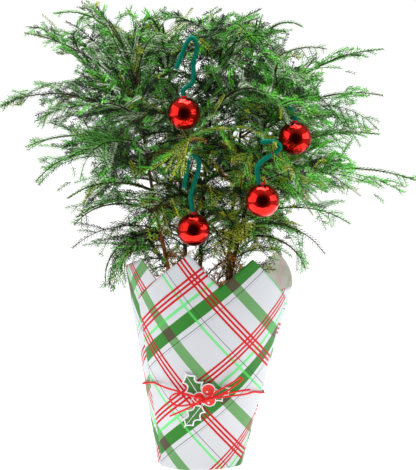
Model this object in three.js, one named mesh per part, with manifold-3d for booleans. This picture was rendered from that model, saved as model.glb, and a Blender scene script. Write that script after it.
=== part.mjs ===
// A young Norfolk Island pine clump: five slim stems in one nursery pot, each with arching, needled arms,
// a paper gift wrap round the pot, and a holly tag held by a string tied in a bow.
// Millimetres, +Z up. The origin is the middle of the pot's flat underside, and -Y is the front.
// Bearings are degrees seen from above: 0 is +X, 90 is +Y, 180 is -X and 270 is the front.

import * as THREE from "three";
import { mergeVertices } from "three/addons/utils/BufferGeometryUtils.js";
import Module from "manifold-3d";

const wasm = await Module();
wasm.setup();

// ---- Driving dimensions ----

const GAP = 0.35; // left between two pieces that touch in the real plant

const WRAP = {
  facets: 72,
  footRadius: 54.5,
  flare: 0.2155, // radius gained for each millimetre of height
  paper: 1,
  footShift: -6, // where the sleeve's middle is along X, at its foot and at shoulderHeight
  shoulderShift: 6,
  shoulderHeight: 217,
  // Its zigzag top, once round: degrees from the front, positive to the right, and height.
  points: [
    [-180, 214], [-160, 220], [-140, 214], [-110, 246], [-80, 251], [-50, 265], [-40, 243], [-15, 274],
    [5, 236], [25, 267], [60, 225], [90, 229], [130, 262], [155, 219], [165, 221], [180, 214],
  ],
};

const POT = { facets: 48, baseRadius: 46, height: 140, wall: 1.6, floor: 2.4, lip: 3, soilBelowRim: 12 };
const SOIL_TOP = POT.height - POT.soilBelowRim;

const TAG = { height: 80, leafLength: 37, leafWidth: 19, berryRadius: 7.5, thickness: 1.6, stemRoom: 2 };
const STRING = { radius: 1.1, height: 84, sideRise: 7, sides: 4, steps: 36 };
const BOW = { leftLoop: [42, 17], rightLoop: [52, 9], tailLength: 48, knotRadius: 3.4 };

// Each stem: its foot on the soil, the point its bend leans towards, its tip, and its arms from the lowest
// up. An arm is [height on the stem, bearing, reach, degrees above level where it leaves, degrees that it
// turns down by its tip, share of it that is a bare bough].
const STEMS = [
  {
    name: "a",
    foot: [-15, -10],
    bend: [-71, -24, 330],
    tip: [-85, -32, 500],
    arms: [
      [292, 204, 110, 4, 104, 0],
      [320, 158, 124, 16, 62, 0],
      [346, 212, 116, 20, 55, 0],
      [374, 186, 150, 28, 82, 0.24],
      [396, 166, 156, 20, 45, 0],
      [427, 182, 182, 34, 62, 0.24],
      [456, 173, 166, 48, 40, 0],
      [476, 158, 154, 80, 94, 0],
    ],
  },
  {
    name: "b",
    foot: [-8, -2],
    bend: [-8, -6, 400],
    tip: [26, -4, 545],
    arms: [
      [300, 284, 100, 16, 80, 0],
      [328, 236, 146, 24, 84, 0],
      [356, 312, 150, 26, 80, 0],
      [388, 258, 176, 34, 92, 0.24],
      [416, 220, 150, 34, 84, 0],
      [440, 300, 172, 38, 92, 0],
      [472, 246, 158, 46, 92, 0.24],
      [498, 282, 136, 58, 92, 0],
      [516, 196, 96, 62, 84, 0],
    ],
  },
  {
    name: "c",
    foot: [7, -14],
    bend: [46, -26, 310],
    tip: [84, -36, 470],
    arms: [
      [286, 342, 98, 14, 88, 0],
      [314, 10, 142, 16, 50, 0],
      [346, 353, 208, 22, 42, 0.24],
      [372, 298, 152, 26, 88, 0],
      [388, 8, 152, 24, 32, 0.24],
      [430, 348, 150, 32, 44, 0],
      [460, 8, 150, 40, 38, 0],
      [464, 276, 120, 56, 92, 0],
    ],
  },
  {
    name: "d",
    foot: [24, 14],
    bend: [30, 40, 350],
    tip: [66, 62, 556],
    arms: [
      [306, 64, 132, 18, 66, 0],
      [340, 28, 140, 20, 52, 0],
      [374, 86, 172, 22, 52, 0.24],
      [408, 44, 164, 26, 50, 0.24],
      [444, 72, 158, 32, 52, 0],
      [480, 18, 122, 46, 60, 0],
      [512, 96, 100, 60, 70, 0],
      [520, 330, 84, 60, 90, 0],
    ],
  },
  {
    name: "e",
    foot: [-18, 16],
    bend: [-26, 42, 350],
    tip: [-54, 70, 552],
    arms: [
      [308, 118, 132, 18, 66, 0],
      [342, 154, 140, 20, 52, 0],
      [376, 96, 172, 22, 52, 0.24],
      [410, 138, 164, 26, 50, 0.24],
      [446, 108, 158, 32, 52, 0],
      [490, 162, 116, 58, 70, 0],
      [512, 264, 110, 60, 84, 0],
    ],
  },
];
const STEM = { foot: 3.4, flare: 1.8, tip: 1.1, sides: 6, steps: 10, buried: 5 };

const ARM = {
  baseRadius: 1.7,
  tipRadius: 0.6,
  steps: 6,
  roll: [22, 52], // degrees that its flat spread of side twigs is turned about it, either way
  thickness: [2.4, 1.3], // of the flat spread, at the arm's root and at its tips
  rootShare: 0.12, // the share of an arm that is its root, beside its own stem
  room: 0.8, // kept round the rest of it, free of other arms
  longestEdge: 0.17, // the longest straight part of its edges, as a share of its length
};
const TWIGS = {
  perArm: 8, // side twigs, besides the needled tip
  from: 0.2, // where the first and the last of them leave, along the arm
  to: 0.72,
  length: 72, // of the first on an arm of fullReach; the last is tipShare of it
  fullReach: 165,
  tipShare: 0.52,
  forward: 54, // degrees between a side twig and its arm
  droop: 0.2, // how far a side twig sags, as a share of its length
  shorter: [1, 0.8, 0.6], // shares of its length tried before it is skipped
  needle: 8.5, // half the width across the needles
  stalk: 0.13, // half the width between the needles, as a share of that
  teeth: 2, // pairs of needle teeth on a side twig
  endTeeth: 3, // and on the tip of the arm
  endLength: 0.2, // share of the arm that is its needled tip
};

const rad = THREE.MathUtils.degToRad;
const { lerp } = THREE.MathUtils;
const UP = new THREE.Vector3(0, 0, 1);

// ---- Seeded variation: the same two numbers always give the same value from -1 to 1 ----

function vary(a, b) {
  const x = Math.sin(a * 127.1 + b * 311.7) * 43758.5453;
  return (x - Math.floor(x)) * 2 - 1;
}

// ---- Solids and meshes ----

function toSolid(geometry) {
  const bare = geometry.index ? geometry.toNonIndexed() : geometry.clone();
  for (const name of Object.keys(bare.attributes)) if (name !== "position") bare.deleteAttribute(name);
  const merged = mergeVertices(bare, 1e-3);
  const solidFrom = (triVerts) =>
    new wasm.Manifold(
      new wasm.Mesh({ numProp: 3, vertProperties: merged.attributes.position.array, triVerts }),
    );
  const solid = solidFrom(new Uint32Array(merged.index.array));
  if (solid.volume() > 0) return solid;
  return solidFrom(new Uint32Array(merged.index.array.toReversed())); // its faces pointed inwards
}

function toGeometry(solid) {
  const mesh = solid.getMesh();
  const geometry = new THREE.BufferGeometry();
  geometry.setAttribute("position", new THREE.BufferAttribute(mesh.vertProperties, 3));
  geometry.setIndex(new THREE.BufferAttribute(mesh.triVerts, 1));
  geometry.computeVertexNormals();
  return geometry;
}

const LOOKS = {
  needles: new THREE.MeshStandardMaterial({ color: 0x3f6b2a, roughness: 0.6 }),
  bark: new THREE.MeshStandardMaterial({ color: 0x5b3f26, roughness: 0.9 }),
  twig: new THREE.MeshStandardMaterial({ color: 0x55602b, roughness: 0.85 }),
  pot: new THREE.MeshStandardMaterial({ color: 0x1c2320, roughness: 0.5 }),
  soil: new THREE.MeshStandardMaterial({ color: 0x2c2119, roughness: 1 }),
  paper: new THREE.MeshStandardMaterial({ color: 0xe9e9ee, roughness: 0.35 }),
  card: new THREE.MeshStandardMaterial({ color: 0x2f6b3a, roughness: 0.6 }),
  string: new THREE.MeshStandardMaterial({ color: 0xb01522, roughness: 0.7 }),
};

const plant = new THREE.Group();

function addNode(name, solid, look) {
  const mesh = new THREE.Mesh(toGeometry(solid), LOOKS[look].clone());
  mesh.name = name;
  plant.add(mesh);
}

const boxed = (solid) => ({ solid, box: solid.boundingBox() });
const boxesMeet = (a, b) => [0, 1, 2].every((i) => a.min[i] <= b.max[i] && b.min[i] <= a.max[i]);

// Whether a solid reaches into any of some others, each held as { solid, box }.
function touchesAny(solid, others) {
  const box = solid.boundingBox();
  return others.some((other) => boxesMeet(box, other.box) && !solid.intersect(other.solid).isEmpty());
}

// ---- Limbs: a cylinder bent along a curve, with a radius that changes along it ----

function limb(curve, radiusAt, sides, steps) {
  const geometry = new THREE.CylinderGeometry(1, 1, 1, sides, steps);
  const { normals, binormals } = curve.computeFrenetFrames(steps, false);
  const position = geometry.attributes.position;
  for (let i = 0; i < position.count; i++) {
    const step = Math.round((position.getY(i) + 0.5) * steps);
    const radius = radiusAt(step / steps);
    const point = curve
      .getPointAt(step / steps)
      .addScaledVector(normals[step], position.getZ(i) * radius)
      .addScaledVector(binormals[step], position.getX(i) * radius);
    position.setXYZ(i, point.x, point.y, point.z);
  }
  return toSolid(geometry);
}

// The part of a curve between two shares of its length.
function stretch(curve, from, to, steps) {
  const points = [];
  for (let i = 0; i <= steps; i++) points.push(curve.getPointAt(lerp(from, to, i / steps)));
  return new THREE.CatmullRomCurve3(points);
}

// ---- Flat foliage: small extruded outlines whose corners are then lifted onto the arm and its twigs ----

// A corner of an outline: where it lies in the flat pattern, and its place, facing and thickness in space.
const corner = (x, y, place, facing, thickness) => ({ x, y, place, facing, thickness });
const key = (x, y) => `${Math.fround(x)} ${Math.fround(y)}`;

// One closed body from outlines that share whole edges: the walls between them are left out.
function lifted(outlines) {
  const triangles = [];
  const walls = new Map();
  for (const corners of outlines) {
    const shape = new THREE.Shape(corners.map(({ x, y }) => new THREE.Vector2(x, y)));
    const geometry = new THREE.ExtrudeGeometry(shape, { depth: 1, bevelEnabled: false });
    const byPlace = new Map(corners.map((c) => [key(c.x, c.y), c]));
    const position = geometry.attributes.position;
    for (let i = 0; i < position.count; i += 3) {
      const flat = [i, i + 1, i + 2].map((j) => key(position.getX(j), position.getY(j)));
      const triangle = flat.map((spot, j) => {
        const { place, facing, thickness } = byPlace.get(spot);
        return place.clone().addScaledVector(facing, (position.getZ(i + j) - 0.5) * thickness);
      });
      const ends = [...new Set(flat)].sort();
      if (ends.length === 3) triangles.push(triangle);
      else walls.set(ends.join(), [...(walls.get(ends.join()) ?? []), triangle]);
    }
  }
  const outer = [...walls.values()].filter((wall) => wall.length === 2);
  return toSolid(new THREE.BufferGeometry().setFromPoints([...triangles, ...outer.flat()].flat()));
}

// The outlines of a blade with matching corners along its two edges, and of its pointed end.
function blade(left, right, end) {
  const outlines = left.slice(1).map((next, i) => [left[i], next, right[i + 1], right[i]]);
  return [...outlines, [left.at(-1), end, right.at(-1)]];
}

// The outlines of a strip whose two edges have corners of their own: triangles that keep abreast.
function strip(left, right, end) {
  const outlines = [];
  let [i, j] = [0, 0];
  while (i < left.length - 1 || j < right.length - 1) {
    const leftFirst = j === right.length - 1 || (i < left.length - 1 && left[i + 1].x <= right[j + 1].x);
    outlines.push([left[i], right[j], leftFirst ? left[i + 1] : right[j + 1]]);
    if (leftFirst) i++;
    else j++;
  }
  return [...outlines, [left[i], right[j], end]];
}

// The needle teeth along one edge of a spray, as [share of its length, share of its half width].
function teethAlong(count, stalk) {
  const edge = [];
  for (let i = 0; i < count; i++) {
    const narrow = 1 - (0.42 * i) / count;
    edge.push([i / count, stalk * narrow], [(i + 0.86) / count, narrow]);
  }
  return edge;
}

// The arm's own frame at a share of its length: along it, across its flat spread, and the spread's facing.
function armFrame(arm, at) {
  const along = arm.curve.getTangentAt(at);
  const level = UP.clone().cross(along).normalize();
  const facing = along.clone().cross(level);
  const across = level.multiplyScalar(Math.cos(arm.roll)).addScaledVector(facing, Math.sin(arm.roll));
  return { point: arm.curve.getPointAt(at), along, across, facing: along.clone().cross(across) };
}

// A side twig: it leaves its arm forwards on one side, in the arm's flat spread, then sags.
function twigCurve(frame, rootOffset, side, length, seed) {
  const turn = rad(TWIGS.forward + 2.5 * vary(seed, 1));
  const heading = frame.along
    .clone()
    .multiplyScalar(Math.cos(turn))
    .addScaledVector(frame.across, side * Math.sin(turn))
    .addScaledVector(frame.facing, 0.08 * vary(seed, 2));
  const root = frame.point.clone().addScaledVector(frame.across, side * rootOffset);
  const middle = root.clone().addScaledVector(heading, length * 0.5);
  const tip = root.clone().addScaledVector(heading, length);
  tip.z -= TWIGS.droop * length;
  const forward = frame.along
    .clone()
    .multiplyScalar(Math.sin(turn))
    .addScaledVector(frame.across, -side * Math.cos(turn));
  return { curve: new THREE.QuadraticBezierCurve3(root, middle, tip), forward, turn };
}

// A side twig's corners along its rear and front edges, and its tip. grow widens and thickens it all round.
function twigEdges(arm, at, side, length, seed, grow) {
  const rootOffset = armRadius(at);
  const needle = TWIGS.needle * arm.size * lerp(1, 0.8, at);
  const { curve, forward, turn } = twigCurve(armFrame(arm, at), rootOffset, side, length, seed);
  const place = (d, w) => {
    const offset = w * needle + Math.sign(w) * grow;
    const tangent = curve.getTangentAt(d);
    const facing = forward.clone().cross(tangent).multiplyScalar(side).normalize();
    return corner(
      at * arm.length + d * length * Math.cos(turn) + offset * Math.sin(turn),
      side * (rootOffset + d * length * Math.sin(turn) - offset * Math.cos(turn)),
      curve.getPointAt(d).addScaledVector(forward, offset),
      facing,
      (d ? ARM.thickness[1] : lerp(...ARM.thickness, at)) + 2 * grow,
    );
  };
  const teeth = teethAlong(TWIGS.teeth, TWIGS.stalk);
  return [teeth.map(([d, w]) => place(d, -w)), teeth.map(([d, w]) => place(d, w)), place(1, 0)];
}

// A corner of one edge of the arm itself: side is 1 for its left and -1 for its right.
function armCorner(arm, at, side, halfWidth, grow) {
  const frame = armFrame(arm, at);
  const offset = side * (halfWidth + grow);
  return corner(
    at * arm.length,
    offset,
    frame.point.addScaledVector(frame.across, offset),
    frame.facing,
    lerp(...ARM.thickness, at) + 2 * grow,
  );
}

function tipCorners(arm, side, grow) {
  return teethAlong(TWIGS.endTeeth, TWIGS.stalk).map(([d, w]) =>
    armCorner(arm, lerp(1 - TWIGS.endLength, 1, d), side, w * TWIGS.needle * arm.size, grow),
  );
}

// The needled tip of an arm alone.
function needledTip(arm, grow) {
  return lifted(blade(tipCorners(arm, -1, grow), tipCorners(arm, 1, grow), armCorner(arm, 1, 1, 0, 0)));
}

// One edge of an arm: its own corners and the roots of its twigs, with more corners where it would cut a bend.
function armEdge(arm, side) {
  const roots = arm.twigs.filter((twig) => twig.side === side).flatMap((twig) => twig.root);
  const corners = [armCorner(arm, arm.from, side, armRadius(arm.from), 0), ...roots, ...tipCorners(arm, side, 0)];
  return corners.flatMap((here, i) => {
    const share = (here.x + (corners[i + 1] ?? here).x) / 2 / arm.length;
    const far = i + 1 < corners.length && corners[i + 1].x - here.x > ARM.longestEdge * arm.length;
    return far ? [here, armCorner(arm, share, side, armRadius(share), 0)] : [here];
  });
}

// An arm's whole foliage, with the side twigs that it keeps.
function foliage(arm) {
  const rib = strip(armEdge(arm, 1), armEdge(arm, -1), armCorner(arm, 1, 1, 0, 0));
  return lifted([...rib, ...arm.twigs.flatMap((twig) => twig.outlines)]);
}

// ---- Curves of the plant ----

function stemCurve({ foot, bend, tip }) {
  return new THREE.QuadraticBezierCurve3(
    new THREE.Vector3(foot[0], foot[1], SOIL_TOP - STEM.buried),
    new THREE.Vector3(...bend),
    new THREE.Vector3(...tip),
  );
}

// The stem's radius: a short root flare, then a straight taper.
function stemRadius(along) {
  const flare = STEM.flare * Math.max(0, 1 - along * 12);
  return lerp(STEM.foot, STEM.tip, along) + flare;
}

// The share of a stem's length at a height.
function shareAtHeight(curve, height) {
  let [low, high] = [0, 1];
  for (let i = 0; i < 30; i++) {
    const middle = (low + high) / 2;
    if (curve.getPointAt(middle).z < height) low = middle;
    else high = middle;
  }
  return low;
}

// An arm leaves its stem at its rise and turns steadily downwards.
function armCurve(start, bearing, reach, rise, turn) {
  const points = [start.clone()];
  for (let i = 0; i < ARM.steps; i++) {
    const share = (i + 0.5) / ARM.steps;
    const pitch = rad(rise - turn * share ** 1.3);
    const yaw = rad(bearing + 12 * share * vary(reach, 5));
    const stride = new THREE.Vector3(
      Math.cos(yaw) * Math.cos(pitch),
      Math.sin(yaw) * Math.cos(pitch),
      Math.sin(pitch),
    );
    points.push(points[i].clone().addScaledVector(stride, reach / ARM.steps));
  }
  return new THREE.CatmullRomCurve3(points);
}

const armRadius = (along) => lerp(ARM.baseRadius, ARM.tipRadius, along);

// ---- The pot, its soil and the wrap ----

const wrapRadius = (z) => WRAP.footRadius + WRAP.flare * z;
const wrapShift = (z) => lerp(WRAP.footShift, WRAP.shoulderShift, z / WRAP.shoulderHeight);

// How high the paper stands at an angle from the front: straight between the points of its zigzag top.
function wrapTop(angle) {
  const next = Math.max(1, WRAP.points.findIndex(([at]) => at >= Math.min(180, angle)));
  const [[from, low], [to, high]] = [WRAP.points[next - 1], WRAP.points[next]];
  return lerp(low, high, (angle - from) / (to - from));
}

// A closed band turned once round the axis, whose upper corners then follow the points of the paper.
function makeWrap() {
  const corners = [[0, 0], [0, 1], [-WRAP.paper, 1], [-WRAP.paper, 0], [0, 0]];
  const profile = corners.map(([r, up]) => new THREE.Vector2(WRAP.footRadius + r, up));
  const geometry = new THREE.LatheGeometry(profile, WRAP.facets);
  const position = geometry.attributes.position;
  for (let i = 0; i < position.count; i++) {
    const [x, up, y] = [position.getX(i), position.getY(i), position.getZ(i)];
    const angle = Math.atan2(x, y);
    const wall = Math.hypot(x, y) - WRAP.footRadius;
    const z = up * wrapTop(THREE.MathUtils.radToDeg(angle));
    const radius = wrapRadius(z) + wall;
    position.setXYZ(i, wrapShift(z) + radius * Math.sin(angle), -radius * Math.cos(angle), z);
  }
  return toSolid(geometry);
}

// Corners given as [radius, height], turned about +Z.
function turned(corners) {
  const profile = corners.map(([r, z]) => new THREE.Vector2(r, z));
  return toSolid(new THREE.LatheGeometry(profile, POT.facets).rotateX(Math.PI / 2));
}

// The foot of the pot's rim just meets the inside of the leaning sleeve, less what the facets cut off.
const underLip = POT.height - 2 * POT.lip;
const sleeveRoom = wrapRadius(underLip) - WRAP.paper - Math.abs(wrapShift(underLip));
const rimRadius = sleeveRoom * Math.cos(Math.PI / WRAP.facets) - GAP;
const potRadius = (z) => lerp(POT.baseRadius, rimRadius - POT.lip, z / underLip);

// The pot's inner wall, which is straight from the floor up to the rim.
function potInside(z) {
  const { floor, height, wall } = POT;
  return lerp(potRadius(floor), potRadius(underLip), (z - floor) / (height - floor)) - wall;
}

function makePot() {
  const { height, floor } = POT;
  return turned([
    [0, 0],
    [POT.baseRadius, 0],
    [potRadius(underLip), underLip],
    [rimRadius, underLip],
    [rimRadius, height],
    [potInside(height), height],
    [potInside(floor), floor],
    [0, floor],
  ]);
}

function makeSoil() {
  const foot = POT.floor + GAP;
  return turned([
    [0, foot],
    [potInside(foot) - GAP, foot],
    [potInside(SOIL_TOP - 4) - GAP, SOIL_TOP - 4],
    [potInside(SOIL_TOP) - 6, SOIL_TOP],
    [0, SOIL_TOP],
  ]);
}

// ---- The holly tag and the string ----

// A point on the wrap's surface at an angle from the front and a height, standing off it by some distance.
function onWrap(angle, z, away) {
  const radius = wrapRadius(z) + away;
  return new THREE.Vector3(wrapShift(z) + radius * Math.sin(angle), -radius * Math.cos(angle), z);
}

// A holly leaf from its stalk at the origin along +X: sharp points with scallops between them.
function hollyLeaf() {
  const { leafLength, leafWidth, thickness } = TAG;
  const points = [0.2, 0.52, 0.8]; // where its side points are, as shares of its length
  const widths = [0.42, 0.5, 0.34];
  const side = [[0, 0.07]];
  points.forEach((at, i) => side.push([at, widths[i]], [at + 0.14, widths[i] * 0.52]));
  const outline = [...side.map(([x, y]) => [x, -y]), [1, 0], ...side.toReversed()];
  const corners = outline.map(([x, y]) => new THREE.Vector2(x * leafLength, y * leafWidth * 2));
  return new THREE.ExtrudeGeometry(new THREE.Shape(corners), { depth: thickness, bevelEnabled: false });
}

// Bent from lying flat to following the front of the wrap.
function againstWrap(geometry) {
  const position = geometry.attributes.position;
  for (let i = 0; i < position.count; i++) {
    const z = TAG.height + position.getY(i);
    const away = GAP + TAG.stemRoom + position.getZ(i);
    const point = onWrap(position.getX(i) / wrapRadius(z), z, away);
    position.setXYZ(i, point.x, point.y, point.z);
  }
  return toSolid(geometry);
}

function makeTag() {
  const leaves = [128, 236, 28].map((turn) => againstWrap(hollyLeaf().rotateZ(rad(turn))));
  const berries = [[-1, 9], [-8, -2], [4, -5]].map(([x, y]) => {
    const berry = new THREE.CylinderGeometry(TAG.berryRadius, TAG.berryRadius, TAG.thickness * 2, 8);
    return againstWrap(berry.rotateX(Math.PI / 2).translate(x, y, TAG.thickness));
  });
  return [...leaves, ...berries].reduce((sum, piece) => sum.add(piece));
}

const { radius: stringRadius } = STRING;
const overTag = GAP * 2 + TAG.stemRoom + TAG.thickness * 2; // how far out the string passes the tag

function makeString() {
  const ring = [];
  for (let i = 0; i < STRING.steps; i++) {
    const angle = (2 * Math.PI * i) / STRING.steps;
    const front = Math.max(0, Math.cos(angle));
    const room = overTag * THREE.MathUtils.smoothstep(front, 0.6, 0.86);
    const z = STRING.height + STRING.sideRise * (1 - front);
    ring.push(onWrap(angle, z, GAP + stringRadius * 1.2 + room));
  }
  const closed = new THREE.CatmullRomCurve3(ring, true);
  const knotAt = onWrap(0, STRING.height, overTag + BOW.knotRadius);
  const pieces = [
    toSolid(new THREE.TubeGeometry(closed, STRING.steps, stringRadius, STRING.sides, true)),
    toSolid(new THREE.IcosahedronGeometry(BOW.knotRadius, 0).translate(knotAt.x, knotAt.y, knotAt.z)),
  ];
  const outward = (x, z, out) => knotAt.clone().add(new THREE.Vector3(x, -out, z));
  const [leftLong, leftHigh] = BOW.leftLoop;
  const [rightLong, rightHigh] = BOW.rightLoop;
  const left = [[0, 0], [-leftLong / 2, leftHigh / 2], [-leftLong, 0], [-leftLong / 2, -leftHigh / 2]];
  const right = [[0, 0], [rightLong * 0.6, rightHigh], [rightLong, rightHigh * 2.4], [rightLong * 0.5, 3]];
  for (const loop of [left, right]) {
    const curve = new THREE.CatmullRomCurve3(loop.map(([x, z]) => outward(x, z, 0.6)), true);
    pieces.push(toSolid(new THREE.TubeGeometry(curve, 14, stringRadius, STRING.sides, true)));
  }
  for (const [x, z] of [[-1, -0.45], [1, 0.12]]) {
    const end = outward(x * BOW.tailLength, z * BOW.tailLength, 0.4);
    const middle = outward(x * BOW.tailLength * 0.5, z * BOW.tailLength * 0.3 - 3, 1.2);
    const curve = new THREE.QuadraticBezierCurve3(knotAt.clone(), middle, end);
    pieces.push(limb(curve, () => stringRadius, STRING.sides, 4));
  }
  return pieces.reduce((sum, piece) => sum.add(piece));
}

// ---- The plant ----

const wrap = makeWrap();
addNode("pot", makePot(), "pot");
addNode("soil", makeSoil(), "soil");
addNode("gift_wrap", wrap, "paper");
addNode("holly_tag", makeTag(), "card");
addNode("tie_string", makeString(), "string");

const limbs = [boxed(wrap)]; // what no arm or twig may reach into
const ground = toSolid(new THREE.BoxGeometry(200, 200, 40).translate(0, 0, SOIL_TOP + GAP - 20));
for (const stem of STEMS) {
  stem.curve = stemCurve(stem);
  stem.solid = limb(stem.curve, stemRadius, STEM.sides, STEM.steps).subtract(ground); // cut flat
  addNode("stem_" + stem.name, stem.solid, "bark");
  limbs.push(boxed(stem.solid));
}

// An arm that starts so far from the middle of its stem, turned aside by shift degrees.
function makeArm(stem, order, shift, clear) {
  const [height, bearing, reach, rise, turn, bough] = stem.arms[order];
  const heading = new THREE.Vector3(Math.cos(rad(bearing + shift)), Math.sin(rad(bearing + shift)), 0);
  const foot = stem.curve.getPointAt(shareAtHeight(stem.curve, height));
  const curve = armCurve(foot.addScaledVector(heading, clear), bearing + shift, reach, rise, turn);
  const length = curve.getLength();
  const seed = stem.tip[0] + 10 * order;
  return {
    name: stem.name + (order + 1),
    curve,
    length,
    size: Math.min(1, length / TWIGS.fullReach),
    seed,
    roll: rad(lerp(...ARM.roll, Math.abs(vary(seed, 7)))) * Math.sign(vary(seed, 8)),
    bough,
    from: bough ? bough + GAP / length : 0, // where its foliage begins
    twigs: [],
    room: [],
  };
}

// The end of an arm that meets its stem: its bare bough, or the root of its flat spread.
function rootOf(arm) {
  if (arm.bough) return limb(stretch(arm.curve, 0, arm.bough, 3), (s) => armRadius(s * arm.bough), 5, 3);
  const edge = (side) => [0, 0.1].map((at) => armCorner(arm, at, side, armRadius(at), 0));
  return lifted([[...edge(-1), ...edge(1).toReversed()]]);
}

// An arm slid in along its bearing until it is GAP from its stem.
function seatedArm(stem, order, shift) {
  let clear = 8;
  for (let i = 0; i < 3; i++) {
    const root = rootOf(makeArm(stem, order, shift, clear));
    clear -= root.minGap(stem.solid, 20) - GAP;
  }
  return makeArm(stem, order, shift, clear);
}

// Every arm, turned a little to one side if it would run into a limb or an arm that came before it.
const arms = [];
for (const stem of STEMS)
  for (const order of stem.arms.keys())
    for (const shift of [0, 7, -7, 14, -14, 21, -21]) {
      const arm = seatedArm(stem, order, shift);
      const others = [...limbs, ...arms.flatMap((other) => other.room)];
      const beyond = stretch(arm.curve, ARM.rootShare, 1, ARM.steps);
      const around = limb(beyond, (share) => armRadius(share) + ARM.room + GAP, 4, ARM.steps);
      if (touchesAny(around, others) || touchesAny(needledTip(arm, GAP), others)) continue;
      limbs.push(boxed(limb(arm.curve, (share) => armRadius(share) + ARM.room, 4, ARM.steps)));
      arm.room.push(boxed(needledTip(arm, 0)));
      arms.push(arm);
      if (arm.bough) addNode("bough_" + arm.name, rootOf(arm), "twig");
      break;
    }

// The side twigs, one from each arm in turn, so that all the arms get their share of the space. A twig that
// would reach into a limb or into another arm's foliage is shortened, and skipped if that isn't enough.
for (let order = 0; order < TWIGS.perArm; order++)
  for (const [index, arm] of arms.entries()) {
    const share = order / (TWIGS.perArm - 1);
    const at = lerp(Math.max(TWIGS.from, arm.from + 0.05), TWIGS.to, share);
    const side = (order + index) % 2 ? 1 : -1;
    const seed = arm.seed + 31 * order;
    const full = TWIGS.length * lerp(1, TWIGS.tipShare, share) * arm.size;
    const others = arms.flatMap((other) => (other === arm ? [] : other.room));
    const blocked = [...limbs.filter((_, i) => i !== 1 + STEMS.length + index), ...others];
    for (const shorter of TWIGS.shorter) {
      const length = full * (1 + 0.12 * vary(seed, 3)) * shorter;
      const outlines = (grow) => blade(...twigEdges(arm, at, side, length, seed, grow));
      if (touchesAny(lifted(outlines(GAP)), blocked)) continue;
      const [[rear], [front]] = twigEdges(arm, at, side, length, seed, 0);
      arm.twigs.push({ side, root: [rear, front], outlines: outlines(0) });
      arm.room.push(boxed(lifted(outlines(0))));
      break;
    }
  }

for (const arm of arms) addNode("foliage_" + arm.name, foliage(arm), "needles");

export default plant;
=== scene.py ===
"""A potted Norfolk Island pine with its Christmas balls, dressed over its packed solids."""

import math

import bmesh
import bpy
import numpy as np
from mathutils import Matrix, Vector, noise


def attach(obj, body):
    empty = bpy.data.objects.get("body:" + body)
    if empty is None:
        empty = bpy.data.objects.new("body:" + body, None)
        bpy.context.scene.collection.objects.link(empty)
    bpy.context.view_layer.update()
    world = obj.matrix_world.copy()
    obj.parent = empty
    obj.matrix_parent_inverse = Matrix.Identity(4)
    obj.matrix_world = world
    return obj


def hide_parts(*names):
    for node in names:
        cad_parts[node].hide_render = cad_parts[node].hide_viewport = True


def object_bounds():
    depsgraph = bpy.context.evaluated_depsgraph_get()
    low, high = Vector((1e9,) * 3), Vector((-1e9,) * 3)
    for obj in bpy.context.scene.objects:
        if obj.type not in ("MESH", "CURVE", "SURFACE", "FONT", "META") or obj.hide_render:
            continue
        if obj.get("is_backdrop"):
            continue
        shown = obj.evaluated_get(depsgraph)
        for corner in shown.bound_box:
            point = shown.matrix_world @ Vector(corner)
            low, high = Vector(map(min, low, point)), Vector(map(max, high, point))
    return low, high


bl_info = {
    "name": "Potted Pine",
    "version": (1, 0, 0),
    "blender": (4, 5, 0),
    "location": "View3D > Sidebar > Potted Pine",
    "description": "Builds a potted Norfolk Island pine with its wrapped pot and ornaments",
    "category": "Object",
}

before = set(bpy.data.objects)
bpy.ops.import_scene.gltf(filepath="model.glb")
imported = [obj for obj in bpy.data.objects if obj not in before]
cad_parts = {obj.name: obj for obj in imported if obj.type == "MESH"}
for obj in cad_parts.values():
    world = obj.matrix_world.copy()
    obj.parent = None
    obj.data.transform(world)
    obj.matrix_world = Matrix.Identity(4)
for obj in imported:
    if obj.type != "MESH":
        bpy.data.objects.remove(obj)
SOLIDS_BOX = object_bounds()
MM = 0.001  # sizes below are in millimetres unless a property says otherwise


# ---- Sizes shared with the solids ----

GAP = 0.35
WRAP_FOOT, WRAP_FLARE = 54.5, 0.2155
FOOT_SHIFT, SHOULDER_SHIFT, SHOULDER_HEIGHT = -6, 6, 217
POT_HEIGHT, POT_BASE, POT_RIM, POT_WALL, POT_LIP = 140, 46, 80.4, 1.6, 3
SOIL_TOP = 128
STEM_CLEAR = 3.0  # how far out of its stem's middle an arm starts

# The front view: how far off the eye is, where it looks, and the cosine, sine and tangent of its rise.
EYE_FAR, EYE_AIM = 2400, (3.75, 0, 287.6)
EYE_COS, EYE_SIN, EYE_TAN = 0.9962, 0.0872, 0.0875

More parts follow.
